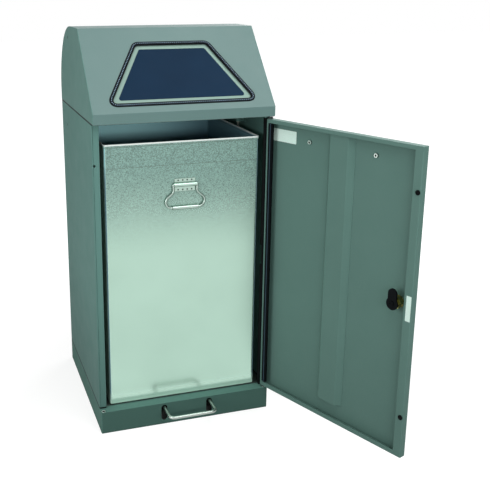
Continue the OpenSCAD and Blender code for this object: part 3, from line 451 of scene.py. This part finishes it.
def powder_coat(name, colour, roughness=0.70, edge_wear_and_highlight=1.30, painted_foot_shade=1.0, crevice_shade_share=0.45,
                gloss=0.35, hinge_and_foot_shade=False, painted_front_shade=1.0):
    """Satin powder coat: clouds, speckle, orange peel, edges lighter by wear and painted highlight, and
    painted shade at joints and near the floor.

    painted_foot_shade is the paint's share of its lightness near the floor, and painted_front_shade that on
    a front.
    crevice_shade_share says how dark the painted shade in crevices gets, and hinge_and_foot_shade adds the
    body's painted shadow on the hinge flange and the painted shade line at its foot.
    """
    material, tree, shader, place = start_material(name, IOR=1.5, Specular_IOR_Level=gloss)
    clouds = between(tree, noise(tree, place, PAINT_CLOUDS, 3), 0, 1)
    base = mix_colour(tree, clouds, shade(colour, 0.965), shade(colour, 1.035))
    base = painted_shade_near_floor(tree, place, base, colour, painted_foot_shade, painted_front_shade)
    speckle = between(tree, noise(tree, place, PAINT_SPECKS, 2), 0, 0.30, 0.35, 0.75)
    base = mix_colour(tree, speckle, base, shade(colour, 1.18))
    # Edges lighter by wear and by painted highlight
    base = mix_colour(tree, edge_mask(tree, radius=1.4 * MM, gain=2.2), base, shade(colour, edge_wear_and_highlight))
    base = painted_joint_shade(tree, place, base, colour, crevice_shade_share, hinge_and_foot_shade)
    tree.links.new(base, shader.inputs["Base Color"])
    patches = noise(tree, place, PAINT_DULL_PATCHES, 3)
    tree.links.new(between(tree, patches, roughness - 0.04, roughness + 0.05), shader.inputs["Roughness"])
    peel = noise(tree, place, PAINT_PEEL, 2)
    relief(tree, shader, peel, strength=0.22, depth=0.12 * MM, rounding=1.1 * MM)
    return material


# Galvanised sheet of the container

def inside_container(tree, place):
    """1 on what lies within the container's walls, and 0 outside them."""
    axes = axes_of(tree, place)
    front, back = CONTAINER_FRONT_Y, CONTAINER_BACK_Y
    deep = between(tree, axes["Y"], 0, 1, front + WALL_SKIN, front + WALL_DEPTH)
    before_back = between(tree, axes["Y"], 1, 0, back - WALL_DEPTH, back - WALL_SKIN)
    away = math_node(tree, "ABSOLUTE", axes["X"])
    between_sides = between(tree, away, 1, 0, CONTAINER_HALF - WALL_DEPTH, CONTAINER_HALF - WALL_SKIN)
    return times(tree, deep, before_back, between_sides)


def zinc_outside(tree, place, crystals_and_shade_share, grain, clouds, colour):
    """Even zinc below, painted shade half way up, and mottled crystals in painted shade above."""
    height = axes_of(tree, place)["Z"]
    low = mix_colour(tree, clouds, shade(colour, 0.96), shade(colour, 1.04))
    half_way_shade = mix_colour(tree, clouds, shade(colour, 0.82), shade(colour, 0.89))
    # Painted shade half way up
    calm = mix_colour(tree, between(tree, height, 0, 1, *CALM_ZONE_Z), low, half_way_shade)
    fine = noise(tree, place, ZINC_GRAIN, 2, 0.7)
    mottle = math_node(tree, "ADD", times(tree, grain, 0.5), fine)
    mottle = between(tree, mottle, 0, 1, 0.35, 1.15)
    # Crystals darker than the calm zinc: grain and painted shade
    crystals = mix_colour(tree, mottle, shade(CRYSTAL_BLUE, 0.22), shade(CRYSTAL_BLUE, 1.18))
    return mix_colour(tree, crystals_and_shade_share, calm, crystals)


def zinc_inside(tree, place):
    """Dull blue, with a painted pool of light below the rim that fades to the right."""
    axes = axes_of(tree, place)
    leftward = between(tree, axes["X"], 1, 0.2, *LIT_INSIDE_X)
    # Painted light below the rim
    painted_light_inside = times(tree, leftward, between(tree, axes["Z"], 0.1, 1, *LIT_INSIDE_Z))
    return mix_colour(tree, painted_light_inside, INSIDE_DULL, INSIDE_PAINTED_LIGHT)


def folds_and_rim(tree, place, base, colour, outside):
    """Painted shade on the crease below the rim, the painted shadow line under the rim, and a painted
    highlight on its bead.
    """
    height = axes_of(tree, place)["Z"]
    # Painted shade on the crease
    crease_shade = band(tree, height, CREASE_Z, FOLD_LINE_HALF, FOLD_LINE_BLUR)
    base = mix_colour(tree, times(tree, outside, crease_shade, 0.55), base, shade(colour, 0.2))
    rim_foot = CONTAINER_TOP_Z - RIM_HEIGHT
    # Painted shadow line under the rim
    under_rim_shadow = band(tree, height, rim_foot - 0.6 * MM, FOLD_LINE_HALF, FOLD_LINE_BLUR)
    base = mix_colour(tree, times(tree, under_rim_shadow, 0.7), base, shade(colour, 0.15))
    # Painted highlight on the bead
    bead_foot = CONTAINER_TOP_Z - BEAD_HEIGHT
    bead_highlight = between(tree, height, 0, 1, bead_foot, bead_foot + 0.6 * MM)
    return mix_colour(tree, bead_highlight, base, RIM_HIGHLIGHT_WHITE)


def galvanised(name, colour):
    """Zinc-coated sheet: smooth and bright below, small crystals in painted shade above, a pale rim that is
    a painted highlight, dull blue inside with a painted pool of light.
    """
    material, tree, shader, place = start_material(name)
    axes = axes_of(tree, place)
    cells = node(tree, "TexVoronoi", {"Vector": place, "Scale": ZINC_CRYSTALS, "Randomness": 1.0})
    grain = node(tree, "SeparateColor", {"Color": cells.outputs["Color"]}).outputs["Red"]
    clouds = between(tree, noise(tree, place, ZINC_CLOUDS, 4), 0, 1)
    uneven_height = math_node(tree, "ADD", axes["Z"], times(tree, clouds, 0.03))
    crystals_and_shade_share = between(tree, uneven_height, 0, 1, *CRYSTALS_FADE_Z, "SMOOTHSTEP")
    inside = inside_container(tree, place)
    outside = inverse(tree, inside)
    base = zinc_outside(tree, place, crystals_and_shade_share, grain, clouds, colour)
    base = mix_colour(tree, inside, base, zinc_inside(tree, place))

    # Painted highlight: the container's side corners made lighter
    across = math_node(tree, "ABSOLUTE", axes["X"])
    corner = between(tree, across, 0, 1, CONTAINER_HALF - 5 * MM, CONTAINER_HALF - 2 * MM)
    corner = times(tree, outside, corner)
    base = mix_colour(tree, times(tree, corner, 0.6), base, shade(colour, 1.3))
    # Painted reflection: the foot made lighter
    foot = between(tree, axes["Z"], 1, 0, *BRIGHT_FOOT_Z)
    base = mix_colour(tree, foot, base, shade(colour, 1.4))
    base = folds_and_rim(tree, place, base, colour, outside)
    # Painted highlight on sharp edges
    base = mix_colour(tree, edge_mask(tree, radius=1.8 * MM, gain=1.6), base, shade(colour, 1.35))
    # Painted shade in crevices
    base = mix_colour(tree, times(tree, crevice(tree, 3 * MM), 0.5), base, shade(colour, 0.1))
    tree.links.new(base, shader.inputs["Base Color"])

    # Crystals, corners and the foot are less of a mirror than the calm sheet
    by_crystals = between(tree, crystals_and_shade_share, 0.96, 0.30, 0, 1)
    by_corner = between(tree, corner, 1, 0.2, 0, 1)
    by_foot = between(tree, foot, 1, 0.4, 0, 1)
    tree.links.new(times(tree, outside, by_crystals, by_corner, by_foot), shader.inputs["Metallic"])
    grained = times(tree, crystals_and_shade_share, between(tree, grain, 0.08, 0.18, 0, 1))
    tree.links.new(math_node(tree, "ADD", grained, 0.20), shader.inputs["Roughness"])
    raised = times(tree, crystals_and_shade_share, grain)
    relief(tree, shader, raised, strength=0.25, depth=0.06 * MM, rounding=0.8 * MM)
    return material


# Metals

def metal(name, colour, roughness, grain=900, bump_strength=0.15, edge_shade=0.75):
    """Plated or drawn metal with a fine grain, darker where the surface turns away."""
    tint = (edge_shade, edge_shade, edge_shade, 1)
    material, tree, shader, place = start_material(name, Metallic=1.0, Specular_Tint=tint)
    fine = noise(tree, place, grain, 3)
    clouds = between(tree, noise(tree, place, METAL_CLOUDS, 3), 0, 1)
    base = mix_colour(tree, clouds, shade(colour, 0.88), shade(colour, 1.06))
    base = mix_colour(tree, between(tree, fine, 0, 0.5), base, shade(colour, 0.78))
    # Painted shade in crevices
    base = mix_colour(tree, times(tree, crevice(tree, 3 * MM), 0.85), base, shade(colour, 0.06))
    tree.links.new(base, shader.inputs["Base Color"])
    tree.links.new(between(tree, fine, roughness * 0.8, roughness * 1.25), shader.inputs["Roughness"])
    relief(tree, shader, fine, bump_strength, depth=0.05 * MM, rounding=0.5 * MM)
    return material


def weld_dimple_shade(tree, place):
    """Towards 1 on two rows of round spots, above and below the handle's pivot."""
    axes = axes_of(tree, place)
    along = math_node(tree, "SUBTRACT", axes["X"], HANDLE_X)
    column = math_node(tree, "SUBTRACT", math_node(tree, "PINGPONG", along, WELD_PITCH), WELD_PITCH / 2)
    row = math_node(tree, "SUBTRACT", distance(tree, axes["Z"], WELD_MIDDLE_Z), WELD_ROW)
    squares = math_node(tree, "ADD", times(tree, column, column), times(tree, row, row))
    away = math_node(tree, "SQRT", squares)
    return between(tree, away, 0.9, 0, WELD_D / 2, WELD_D / 2 + 0.4 * MM)


def spot_welded(name, colour, roughness):
    """Zinc-plated bracket with painted shade in its two rows of spot-weld dimples."""
    material, tree, shader, place = start_material(name, Metallic=1.0, Specular_Tint=(0.5, 0.5, 0.5, 1))
    fine = noise(tree, place, WELDED_GRAIN, 3)
    base = mix_colour(tree, between(tree, fine, 0, 1), shade(colour, 0.86), shade(colour, 1.08))
    # Painted shade in the spot-weld dimples
    base = mix_colour(tree, weld_dimple_shade(tree, place), base, shade(colour, 0.08))
    # Painted shade in crevices
    base = mix_colour(tree, times(tree, crevice(tree, 3 * MM), 0.85), base, shade(colour, 0.06))
    tree.links.new(base, shader.inputs["Base Color"])
    tree.links.new(between(tree, fine, roughness * 0.8, roughness * 1.25), shader.inputs["Roughness"])
    relief(tree, shader, fine, strength=0.15, depth=0.05 * MM, rounding=0.5 * MM)
    return material


# Plastic, rubber, film and paper

def plastic(name, colour, roughness, bump_strength=0.2, grain=600, gloss=0.25):
    """Moulded plastic or rubber with a fine skin."""
    material, tree, shader, place = start_material(name, IOR=1.48, Specular_IOR_Level=gloss)
    skin = noise(tree, place, grain, 2)
    clouds = between(tree, noise(tree, place, PLASTIC_CLOUDS, 2), 0, 1)
    base = mix_colour(tree, clouds, shade(colour, 0.88), shade(colour, 1.14))
    tree.links.new(base, shader.inputs["Base Color"])
    tree.links.new(between(tree, skin, roughness - 0.06, roughness + 0.08), shader.inputs["Roughness"])
    relief(tree, shader, skin, bump_strength, depth=0.06 * MM, rounding=0.5 * MM)
    return material


def striped_seal(name, colour, highlight_colour):
    """Black sealing rubber with a thin painted highlight along its middle, drawn on the shut door's X."""
    material, tree, shader, place = start_material(name, IOR=1.48, Specular_IOR_Level=0.06, Roughness=0.65)
    turn = Matrix.Rotation(-DOOR_OPEN, 4, "Z")
    shift = DOOR_PIVOT - turn @ DOOR_PIVOT
    shut = node(tree, "Mapping", {"Vector": place, "Location": shift, "Rotation": (0, 0, -DOOR_OPEN)})
    across = axes_of(tree, shut.outputs["Vector"])["X"]
    # Painted highlight along the seal's middle
    line = band(tree, across, SEAL_MIDDLE_X, 0.7 * MM, 0.4 * MM)
    skin = noise(tree, place, SEAL_SKIN, 2)
    dark = mix_colour(tree, between(tree, skin, 0, 1), shade(colour, 0.8), shade(colour, 1.3))
    tree.links.new(mix_colour(tree, line, dark, highlight_colour), shader.inputs["Base Color"])
    relief(tree, shader, skin, strength=0.2, depth=0.06 * MM)
    return material


def printed_film(name, colour):
    """Smooth printed film, slightly cloudy, with a faint skin."""
    material, tree, shader, place = start_material(name, IOR=1.5, Specular_IOR_Level=0.04)
    clouds = between(tree, noise(tree, place, FILM_CLOUDS, 3), 0, 1)
    base = mix_colour(tree, clouds, shade(colour, 0.90), shade(colour, 1.08))
    tree.links.new(base, shader.inputs["Base Color"])
    patches = noise(tree, place, FILM_DULL_PATCHES, 2)
    tree.links.new(between(tree, patches, 0.38, 0.46), shader.inputs["Roughness"])
    relief(tree, shader, noise(tree, place, FILM_SKIN, 2), strength=0.05, depth=0.05 * MM)
    return material


def label_paper(name, dark, light):
    """Bare pale label with a faint fibre between two colours."""
    material, tree, shader, place = start_material(name, IOR=1.45)
    fibre = noise(tree, place, PAPER_FIBRE, 4)
    base = mix_colour(tree, between(tree, fibre, 0, 1), dark, light)
    tree.links.new(base, shader.inputs["Base Color"])
    tree.links.new(between(tree, fibre, 0.42, 0.6), shader.inputs["Roughness"])
    relief(tree, shader, fibre, strength=0.15, depth=0.05 * MM)
    return material


# The finishes, and which parts of the frame have them

HOOD = powder_coat("hood_paint", srgb(93, 130, 123), gloss=0.22)
# Hood cover paint: a greyer copy of the paint, painted sheen on the slope
HOOD_COVER = powder_coat("hood_cover_paint", srgb(94, 122, 119), roughness=0.46)
BODY = powder_coat("body_paint", srgb(93, 131, 124), painted_foot_shade=0.69, gloss=0.14, hinge_and_foot_shade=True)
# Plinth paint: a darker copy of the body's paint, painted shade
PLINTH = powder_coat("plinth_paint", srgb(86, 122, 113), painted_foot_shade=0.88, gloss=0.05, painted_front_shade=0.55)
# Door paint: a darker copy of the body's paint, painted shade
DOOR = powder_coat("door_paint", srgb(87, 120, 112), painted_foot_shade=0.86, crevice_shade_share=0.16)
RIVET = powder_coat("rivet_paint", srgb(62, 92, 86), roughness=0.55)
FLAP = powder_coat("flap_paint", srgb(132, 160, 150), roughness=0.6, edge_wear_and_highlight=1.12)
ZINC_SHEET = galvanised("galvanised_sheet", (0.42, 0.60, 0.505, 1))
ZINC_PLATE = metal("zinc_plate", (0.62, 0.66, 0.62, 1), roughness=0.34, grain=700)
FLOOR_ZINC = metal("floor_zinc", (0.17, 0.22, 0.20, 1), roughness=0.5, grain=500)
BRACKET_ZINC = spot_welded("bracket_zinc", (0.42, 0.56, 0.49, 1), roughness=0.34)
WIRE_PLATE = metal("bright_zinc_wire", (0.42, 0.52, 0.47, 1), roughness=0.30, bump_strength=0.08,
                   edge_shade=0.30)
BRIGHT_STEEL = metal("drawn_steel", (0.40, 0.45, 0.42, 1), roughness=0.30, grain=1200, bump_strength=0.06,
                     edge_shade=0.25)
SPRING_STEEL = metal("spring_steel", (0.55, 0.57, 0.58, 1), roughness=0.3)
STUD_ZINC = metal("stud_zinc", (0.80, 0.90, 0.84, 1), roughness=0.30, bump_strength=0.08)
BLACK_STEEL = metal("black_steel", (0.008, 0.009, 0.010, 1), roughness=0.45, grain=700, edge_shade=0.2)
LOCK_METAL = metal("yellow_zinc", (0.36, 0.36, 0.14, 1), roughness=0.28, grain=800)
NYLON = plastic("nylon", srgb(214, 210, 196), roughness=0.45)
GREY_NYLON = plastic("grey_nylon", srgb(58, 70, 68), roughness=0.5)
BLACK_RUBBER = plastic("black_rubber", srgb(6, 8, 9), roughness=0.6, gloss=0.06)
SEAL_RUBBER = striped_seal("seal_rubber", srgb(5, 8, 10), srgb(62, 80, 94))
TRIM_BLACK = plastic("trim_black", srgb(8, 13, 18), roughness=0.55, bump_strength=0.1, gloss=0.08)
TRIM_BAND = plastic("trim_band", srgb(20, 30, 40), roughness=0.55, bump_strength=0.1, gloss=0.1)
# Pale ribs on the black edging: painted highlight
TRIM_RIB_HIGHLIGHT = plastic("trim_rib_highlight", srgb(150, 176, 194), roughness=0.5, bump_strength=0.15, gloss=0.15)
NAVY_FILM = printed_film("navy_film", srgb(18, 42, 64))
LABEL = label_paper("bare_label", srgb(214, 242, 231), srgb(226, 249, 240))

FINISHES = [
    (HOOD_COVER, "hood_cover"),
    (HOOD, "hood_cheek_left", "hood_cheek_right", "flap_bearings"),
    (BODY, "cabinet_shell", "rod_guides", "spring_anchor", "pedal_brackets"),
    (PLINTH, "plinth"),
    (DOOR, "door_panel", "door_stiffener"),
    (RIVET, "strap_rivets"),
    (FLAP, "flap_panel", "flap_lugs"),
    (ZINC_SHEET, "container"),
    (FLOOR_ZINC, "floor_plate", "hood_straps"),
    (ZINC_PLATE, "floor_screws", "bracket_screws", "door_pin_lower", "door_pin_upper", "lever_arm",
     "flap_crank", "rod_end_top", "rod_end_bottom", "spring_collar", "lever_pin", "crank_pin",
     "flap_axle", "pedal_shaft"),
    (BRACKET_ZINC, "handle_bracket"),
    (WIRE_PLATE, "handle_bail", "handle_grip"),
    (STUD_ZINC, "door_stud_nuts"),
    (BRIGHT_STEEL, "pedal_bar", "push_rod"),
    (SPRING_STEEL, "return_spring"),
    # door_studs are black steel, standing in for the shade in the nuts' holes
    (BLACK_STEEL, "lock_cam", "lock_cam_screw", "door_studs"),
    (LOCK_METAL, "lock_nut", "lock_housing", "lock_plug"),
    (NYLON, "pedal_bushes", "rod_guide_bushes", "flap_bushes"),
    (GREY_NYLON, "door_bushes"),
    (BLACK_RUBBER, "door_buffers"),
    (SEAL_RUBBER, "door_seal"),
    (TRIM_BLACK, "inlet_edge_trim"),
    (NAVY_FILM, "flap_film"),
]


def finish_nodes():
    """Gives each part of the frame its finish."""
    for material, *names in FINISHES:
        for name in names:
            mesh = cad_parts[name].data
            mesh.materials.clear()
            mesh.materials.append(material)


# Rubber edging round the inlet

def trim_corners(grow):
    """Corners of the inlet on the slope, moved out by grow."""
    taper = (INLET_LOW_HALF - INLET_HIGH_HALF) / INLET_LENGTH
    lean = math.hypot(1, taper)
    low = INLET_START - grow
    high = INLET_START + INLET_LENGTH + grow
    low_half, high_half = (INLET_LOW_HALF - taper * (s - INLET_START) + grow * lean for s in (low, high))
    return [(-low_half, low), (low_half, low), (high_half, high), (-high_half, high)]


def points_along(route, pitch):
    """Places on a closed route at about the given pitch, each with its direction."""
    sides = list(zip(route, route[1:] + route[:1]))
    length = sum((b - a).length for a, b in sides)
    count = round(length / pitch)
    places = []
    passed = 0
    for a, b in sides:
        side = (b - a).length
        while len(places) < count and len(places) * length / count <= passed + side:
            share = (len(places) * length / count - passed) / side
            places.append((a.lerp(b, share), (b - a).normalized()))
        passed += side
    return places


def make_trim_ribs(route):
    """Small raised ribs across the edging's middle band, before and behind the sheet."""
    bm = bmesh.new()
    for place, along in points_along(route, RIB_PITCH):
        rib = bmesh.ops.create_cube(bm, size=1)["verts"]
        bmesh.ops.scale(bm, verts=rib, vec=(RIB_LENGTH, RIB_WIDTH, RIB_RISE))
        top = [vert for vert in rib if vert.co.z > 0]
        bmesh.ops.scale(bm, verts=top, vec=RIB_TOP_SHARE)
        turn = Matrix.Rotation(math.atan2(along.y, along.x), 4, "Z")
        bmesh.ops.transform(bm, matrix=Matrix.Translation(place) @ turn, verts=rib)
    mirror_through_sheet(bm, 0)
    bmesh.ops.recalc_face_normals(bm, faces=bm.faces)
    bmesh.ops.transform(bm, matrix=slope_matrix(), verts=bm.verts)
    made = make_object("inlet_trim_ribs", bm, TRIM_RIB_HIGHLIGHT)
    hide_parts("inlet_edge_trim")
    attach(made, "cabinet")


def round_trim_corners(bm, corners):
    """Gives the outline's two lower and two upper corners the same radius."""
    low_angle = math.atan2(INLET_LENGTH, INLET_LOW_HALF - INLET_HIGH_HALF)
    for pair, angle in ((corners[:2], low_angle), (corners[2:], math.pi - low_angle)):
        offset = TRIM_RADIUS / math.tan(angle / 2)
        bmesh.ops.bevel(bm, geom=pair, offset=offset, affect="VERTICES", segments=12, profile=0.5,
                        material=-1)


def make_inlet_trim():
    """Edging with a black lip on each side of a ribbed band, the same before and behind the sheet."""
    bm = bmesh.new()
    corners = [bm.verts.new((x, y, 0)) for x, y in trim_corners(TRIM_COVER)]
    bm.faces.new(corners)
    round_trim_corners(bm, corners)
    inner = bm.faces[:][0]
    edges_of_band = []
    for width, rise, ribbed in TRIM_SECTION:
        ring = bmesh.ops.inset_region(bm, faces=[inner], thickness=width * MM, depth=rise * MM,
                                      use_boundary=True, use_even_offset=True)
        for face in ring["faces"]:
            face.material_index = 1 if ribbed else 0
        if ribbed and width < BAND_EDGE_WIDTH:
            edges_of_band.append([vert.co.copy() for vert in inner.verts])
    outer, innermost = edges_of_band
    make_trim_ribs([a.lerp(b, 0.5) for a, b in zip(outer, innermost)])
    bmesh.ops.delete(bm, geom=[inner], context="FACES")
    mirror_through_sheet(bm, TRIM_JOIN)
    rims = [edge for edge in bm.edges if edge.is_boundary]
    bmesh.ops.bridge_loops(bm, edges=rims)
    bmesh.ops.recalc_face_normals(bm, faces=bm.faces)
    bmesh.ops.transform(bm, matrix=slope_matrix(), verts=bm.verts)
    made = make_object("inlet_trim", bm, TRIM_BLACK, TRIM_BAND)
    shade_smooth(made)
    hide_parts("inlet_edge_trim")
    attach(made, "cabinet")


# Dark sheet between body and hood, standing in for the shade in the gap

def make_seam_shade_strip():
    """Dark sheet that fills the gap along both sides and the back, standing in for its shade."""
    bm = bmesh.new()
    places = [(-STRIP_HALF_X, STRIP_BACK_Y), (STRIP_HALF_X, STRIP_BACK_Y),
              (STRIP_HALF_X, STRIP_FRONT_Y), (-STRIP_HALF_X, STRIP_FRONT_Y)]
    corners = [bm.verts.new((x, y, SEAM_Z)) for x, y in places]
    bm.faces.new(corners)
    bmesh.ops.bevel(bm, geom=corners[:2], offset=STRIP_BEND, affect="VERTICES", segments=5, profile=0.5,
                    material=-1)
    inner = bm.faces[:]
    bmesh.ops.inset_region(bm, faces=inner, thickness=STRIP_WIDTH, use_boundary=True, use_even_offset=True)
    front = [face for face in bm.faces if face.calc_center_median().y < STRIP_FRONT_Y + STRIP_WIDTH]
    bmesh.ops.delete(bm, geom=inner + front, context="FACES")
    extrude_flat(bm, (0, 0, SEAM_GAP))
    # A dark sheet that stands in for the gap's shade
    made = make_object("seam_shade_strip", bm, TRIM_BLACK)
    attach(made, "cabinet")


# Blind rivets that hold body and plinth together, at the ledge's front corners

def make_ledge_rivets():
    """A zinc collar at each front corner of the plinth's ledge, with a black disc as the painted shade of
    its bore.
    """
    bm = bmesh.new()
    section = [bm.verts.new((r * MM, 0, z * MM)) for r, z in RIVET_COLLAR]
    loop = [bm.edges.new(pair) for pair in zip(section, section[1:] + section[:1])]
    bmesh.ops.spin(bm, geom=section + loop, axis=(0, 0, 1), cent=(0, 0, 0), angle=math.tau,
                   steps=ROUND_STEPS, use_merge=True)
    # A black disc stands in for the shade in the rivet's bore
    bore_shade_disc = bmesh.ops.create_cone(bm, cap_ends=True, segments=ROUND_STEPS, radius1=RIVET_BORE_RADIUS,
                                 radius2=RIVET_BORE_RADIUS, depth=RIVET_BORE_RISE)["verts"]
    bmesh.ops.translate(bm, verts=bore_shade_disc, vec=(0, 0, RIVET_BORE_RISE / 2))
    for face in {face for vert in bore_shade_disc for face in vert.link_faces}:
        face.material_index = 1
    bmesh.ops.translate(bm, verts=bm.verts, vec=(-RIVET_X, RIVET_Y, PLINTH_TOP_Z))
    bmesh.ops.mirror(bm, geom=everything(bm), merge_dist=0, axis="X")
    bmesh.ops.recalc_face_normals(bm, faces=bm.faces)
    made = make_object("ledge_rivets", bm, STUD_ZINC, BLACK_RUBBER)
    shade_smooth(made, material_index=0)
    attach(made, "cabinet")


# Wire of the drop handle

def make_handle_wire():
    """The bent wire as one smooth curve, the same on both sides of its middle."""
    curve = bpy.data.curves.new("handle_wire", "CURVE")
    curve.dimensions = "3D"
    curve.bevel_depth = WIRE_D / 2
    curve.bevel_resolution = 4
    curve.resolution_u = 10
    curve.use_fill_caps = True
    route = WIRE_HALF + [(-x, z) for x, z in reversed(WIRE_HALF)]
    spline = curve.splines.new("NURBS")
    spline.points.add(len(route) - 1)
    for point, (x, z) in zip(spline.points, route):
        point.co = (HANDLE_X + x * MM, HANDLE_Y, HANDLE_Z + z * MM, 1)
    spline.order_u = 3
    spline.use_endpoint_u = True
    made = bpy.data.objects.new("handle_wire", curve)
    bpy.context.scene.collection.objects.link(made)
    curve.materials.append(WIRE_PLATE)
    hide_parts("handle_bail")
    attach(made, "bail")


# Bare labels on the door

def make_label(name, places, y, corner):
    """A label with round corners on the shut door's inside, swung with the door to where it is drawn."""
    u_low, u_high, z_low, z_high = places
    bm = bmesh.new()
    outline = [(u_high, z_low), (u_low, z_low), (u_low, z_high), (u_high, z_high)]
    corners = [bm.verts.new((DOOR_HALF - u * MM, y, z * MM)) for u, z in outline]
    face = bm.faces.new(corners)
    face.normal_update()
    bmesh.ops.bevel(bm, geom=corners, offset=corner, affect="VERTICES", segments=5, profile=0.5, material=-1)
    extrude_flat(bm, (0, LABEL_THICK, 0))
    bmesh.ops.transform(bm, matrix=door_matrix(), verts=bm.verts)
    made = make_object(name, bm, LABEL)
    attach(made, "door")


# Floor, light and camera

def seen_rays(tree):
    """1 for the rays of the camera, of reflections and through glass, which see the white background."""
    path = node(tree, "LightPath").outputs
    seen = math_node(tree, "MAXIMUM", path["Is Camera Ray"], path["Is Glossy Ray"])
    return math_node(tree, "MAXIMUM", seen, path["Is Transmission Ray"])


def make_floor():
    """Wide pale floor, white where nothing shades it, and dark under the plinth."""
    bm = bmesh.new()
    bmesh.ops.create_grid(bm, x_segments=FLOOR_SQUARES, y_segments=FLOOR_SQUARES, size=FLOOR_HALF)
    material, tree, shader, place = start_material("pale_floor", Roughness=1.0, Specular_IOR_Level=0.0,
                                                   Base_Color=FLOOR_COLOUR, Emission_Color=(1, 1, 1, 1))
    axes = axes_of(tree, place)
    reach = math_node(tree, "MAXIMUM", *(math_node(tree, "ABSOLUTE", axes[axis]) for axis in "XY"))
    open_floor = between(tree, reach, 0, 1, UNDER_PLINTH, UNDER_PLINTH + UNDER_PLINTH_BLUR)
    away = node(tree, "VectorMath", {0: place}, operation="LENGTH").outputs["Value"]
    glow = between(tree, away, *FLOOR_GLOW, *FLOOR_GLOW_FROM)
    tree.links.new(times(tree, seen_rays(tree), open_floor, glow), shader.inputs["Emission Strength"])
    made = make_object("floor", bm, material)


def make_world():
    """White to the camera and in reflections, and a weaker even light on everything else."""
    world = bpy.data.worlds.new("studio")
    bpy.context.scene.world = world
    world.use_nodes = True
    tree = world.node_tree
    tree.nodes.clear()
    strength = between(tree, seen_rays(tree), WORLD_LIGHT, 1.0, 0, 1)
    back = node(tree, "Background", {"Color": (1, 1, 1, 1), "Strength": strength})
    node(tree, "OutputWorld", {"Surface": back.outputs["Background"]})


def make_lamp(name, place, aim, size, power, mirrored):
    """A soft square lamp. One that isn't mirrored leaves no bright patch in metal."""
    lamp = bpy.data.lights.new(name, "AREA")
    lamp.shape = "RECTANGLE"
    lamp.size, lamp.size_y = size
    lamp.energy = power
    made = bpy.data.objects.new(name, lamp)
    made.location = place
    made.rotation_euler = (Vector(aim) - Vector(place)).to_track_quat("-Z", "Y").to_euler()
    made.visible_glossy = mirrored
    bpy.context.scene.collection.objects.link(made)


def make_camera():
    """The camera at the photograph's viewing angle."""
    camera = bpy.data.cameras.new("camera")
    camera.lens = CAMERA_LENS
    camera.sensor_width = CAMERA_SENSOR
    camera.shift_x, camera.shift_y = CAMERA_SHIFT
    made = bpy.data.objects.new("camera", camera)
    forward = Vector((-math.sin(CAMERA_YAW) * math.cos(CAMERA_PITCH),
                      math.cos(CAMERA_YAW) * math.cos(CAMERA_PITCH), -math.sin(CAMERA_PITCH)))
    made.location = CAMERA_PLACE
    made.rotation_euler = forward.to_track_quat("-Z", "Y").to_euler()
    bpy.context.scene.collection.objects.link(made)
    bpy.context.scene.camera = made


# The whole scene

finish_nodes()
make_inlet_trim()
make_seam_shade_strip()
make_ledge_rivets()
make_handle_wire()
make_label("label_wide", LABEL_WIDE, DOOR_SKIN_Y, 1.5 * MM)
make_label("label_tall", LABEL_TALL, DOOR_RIM_Y, 1.0 * MM)
make_floor()
make_world()
for lamp in LAMPS:
    make_lamp(*lamp)
make_camera()
bpy.context.scene.view_settings.view_transform = "Standard"
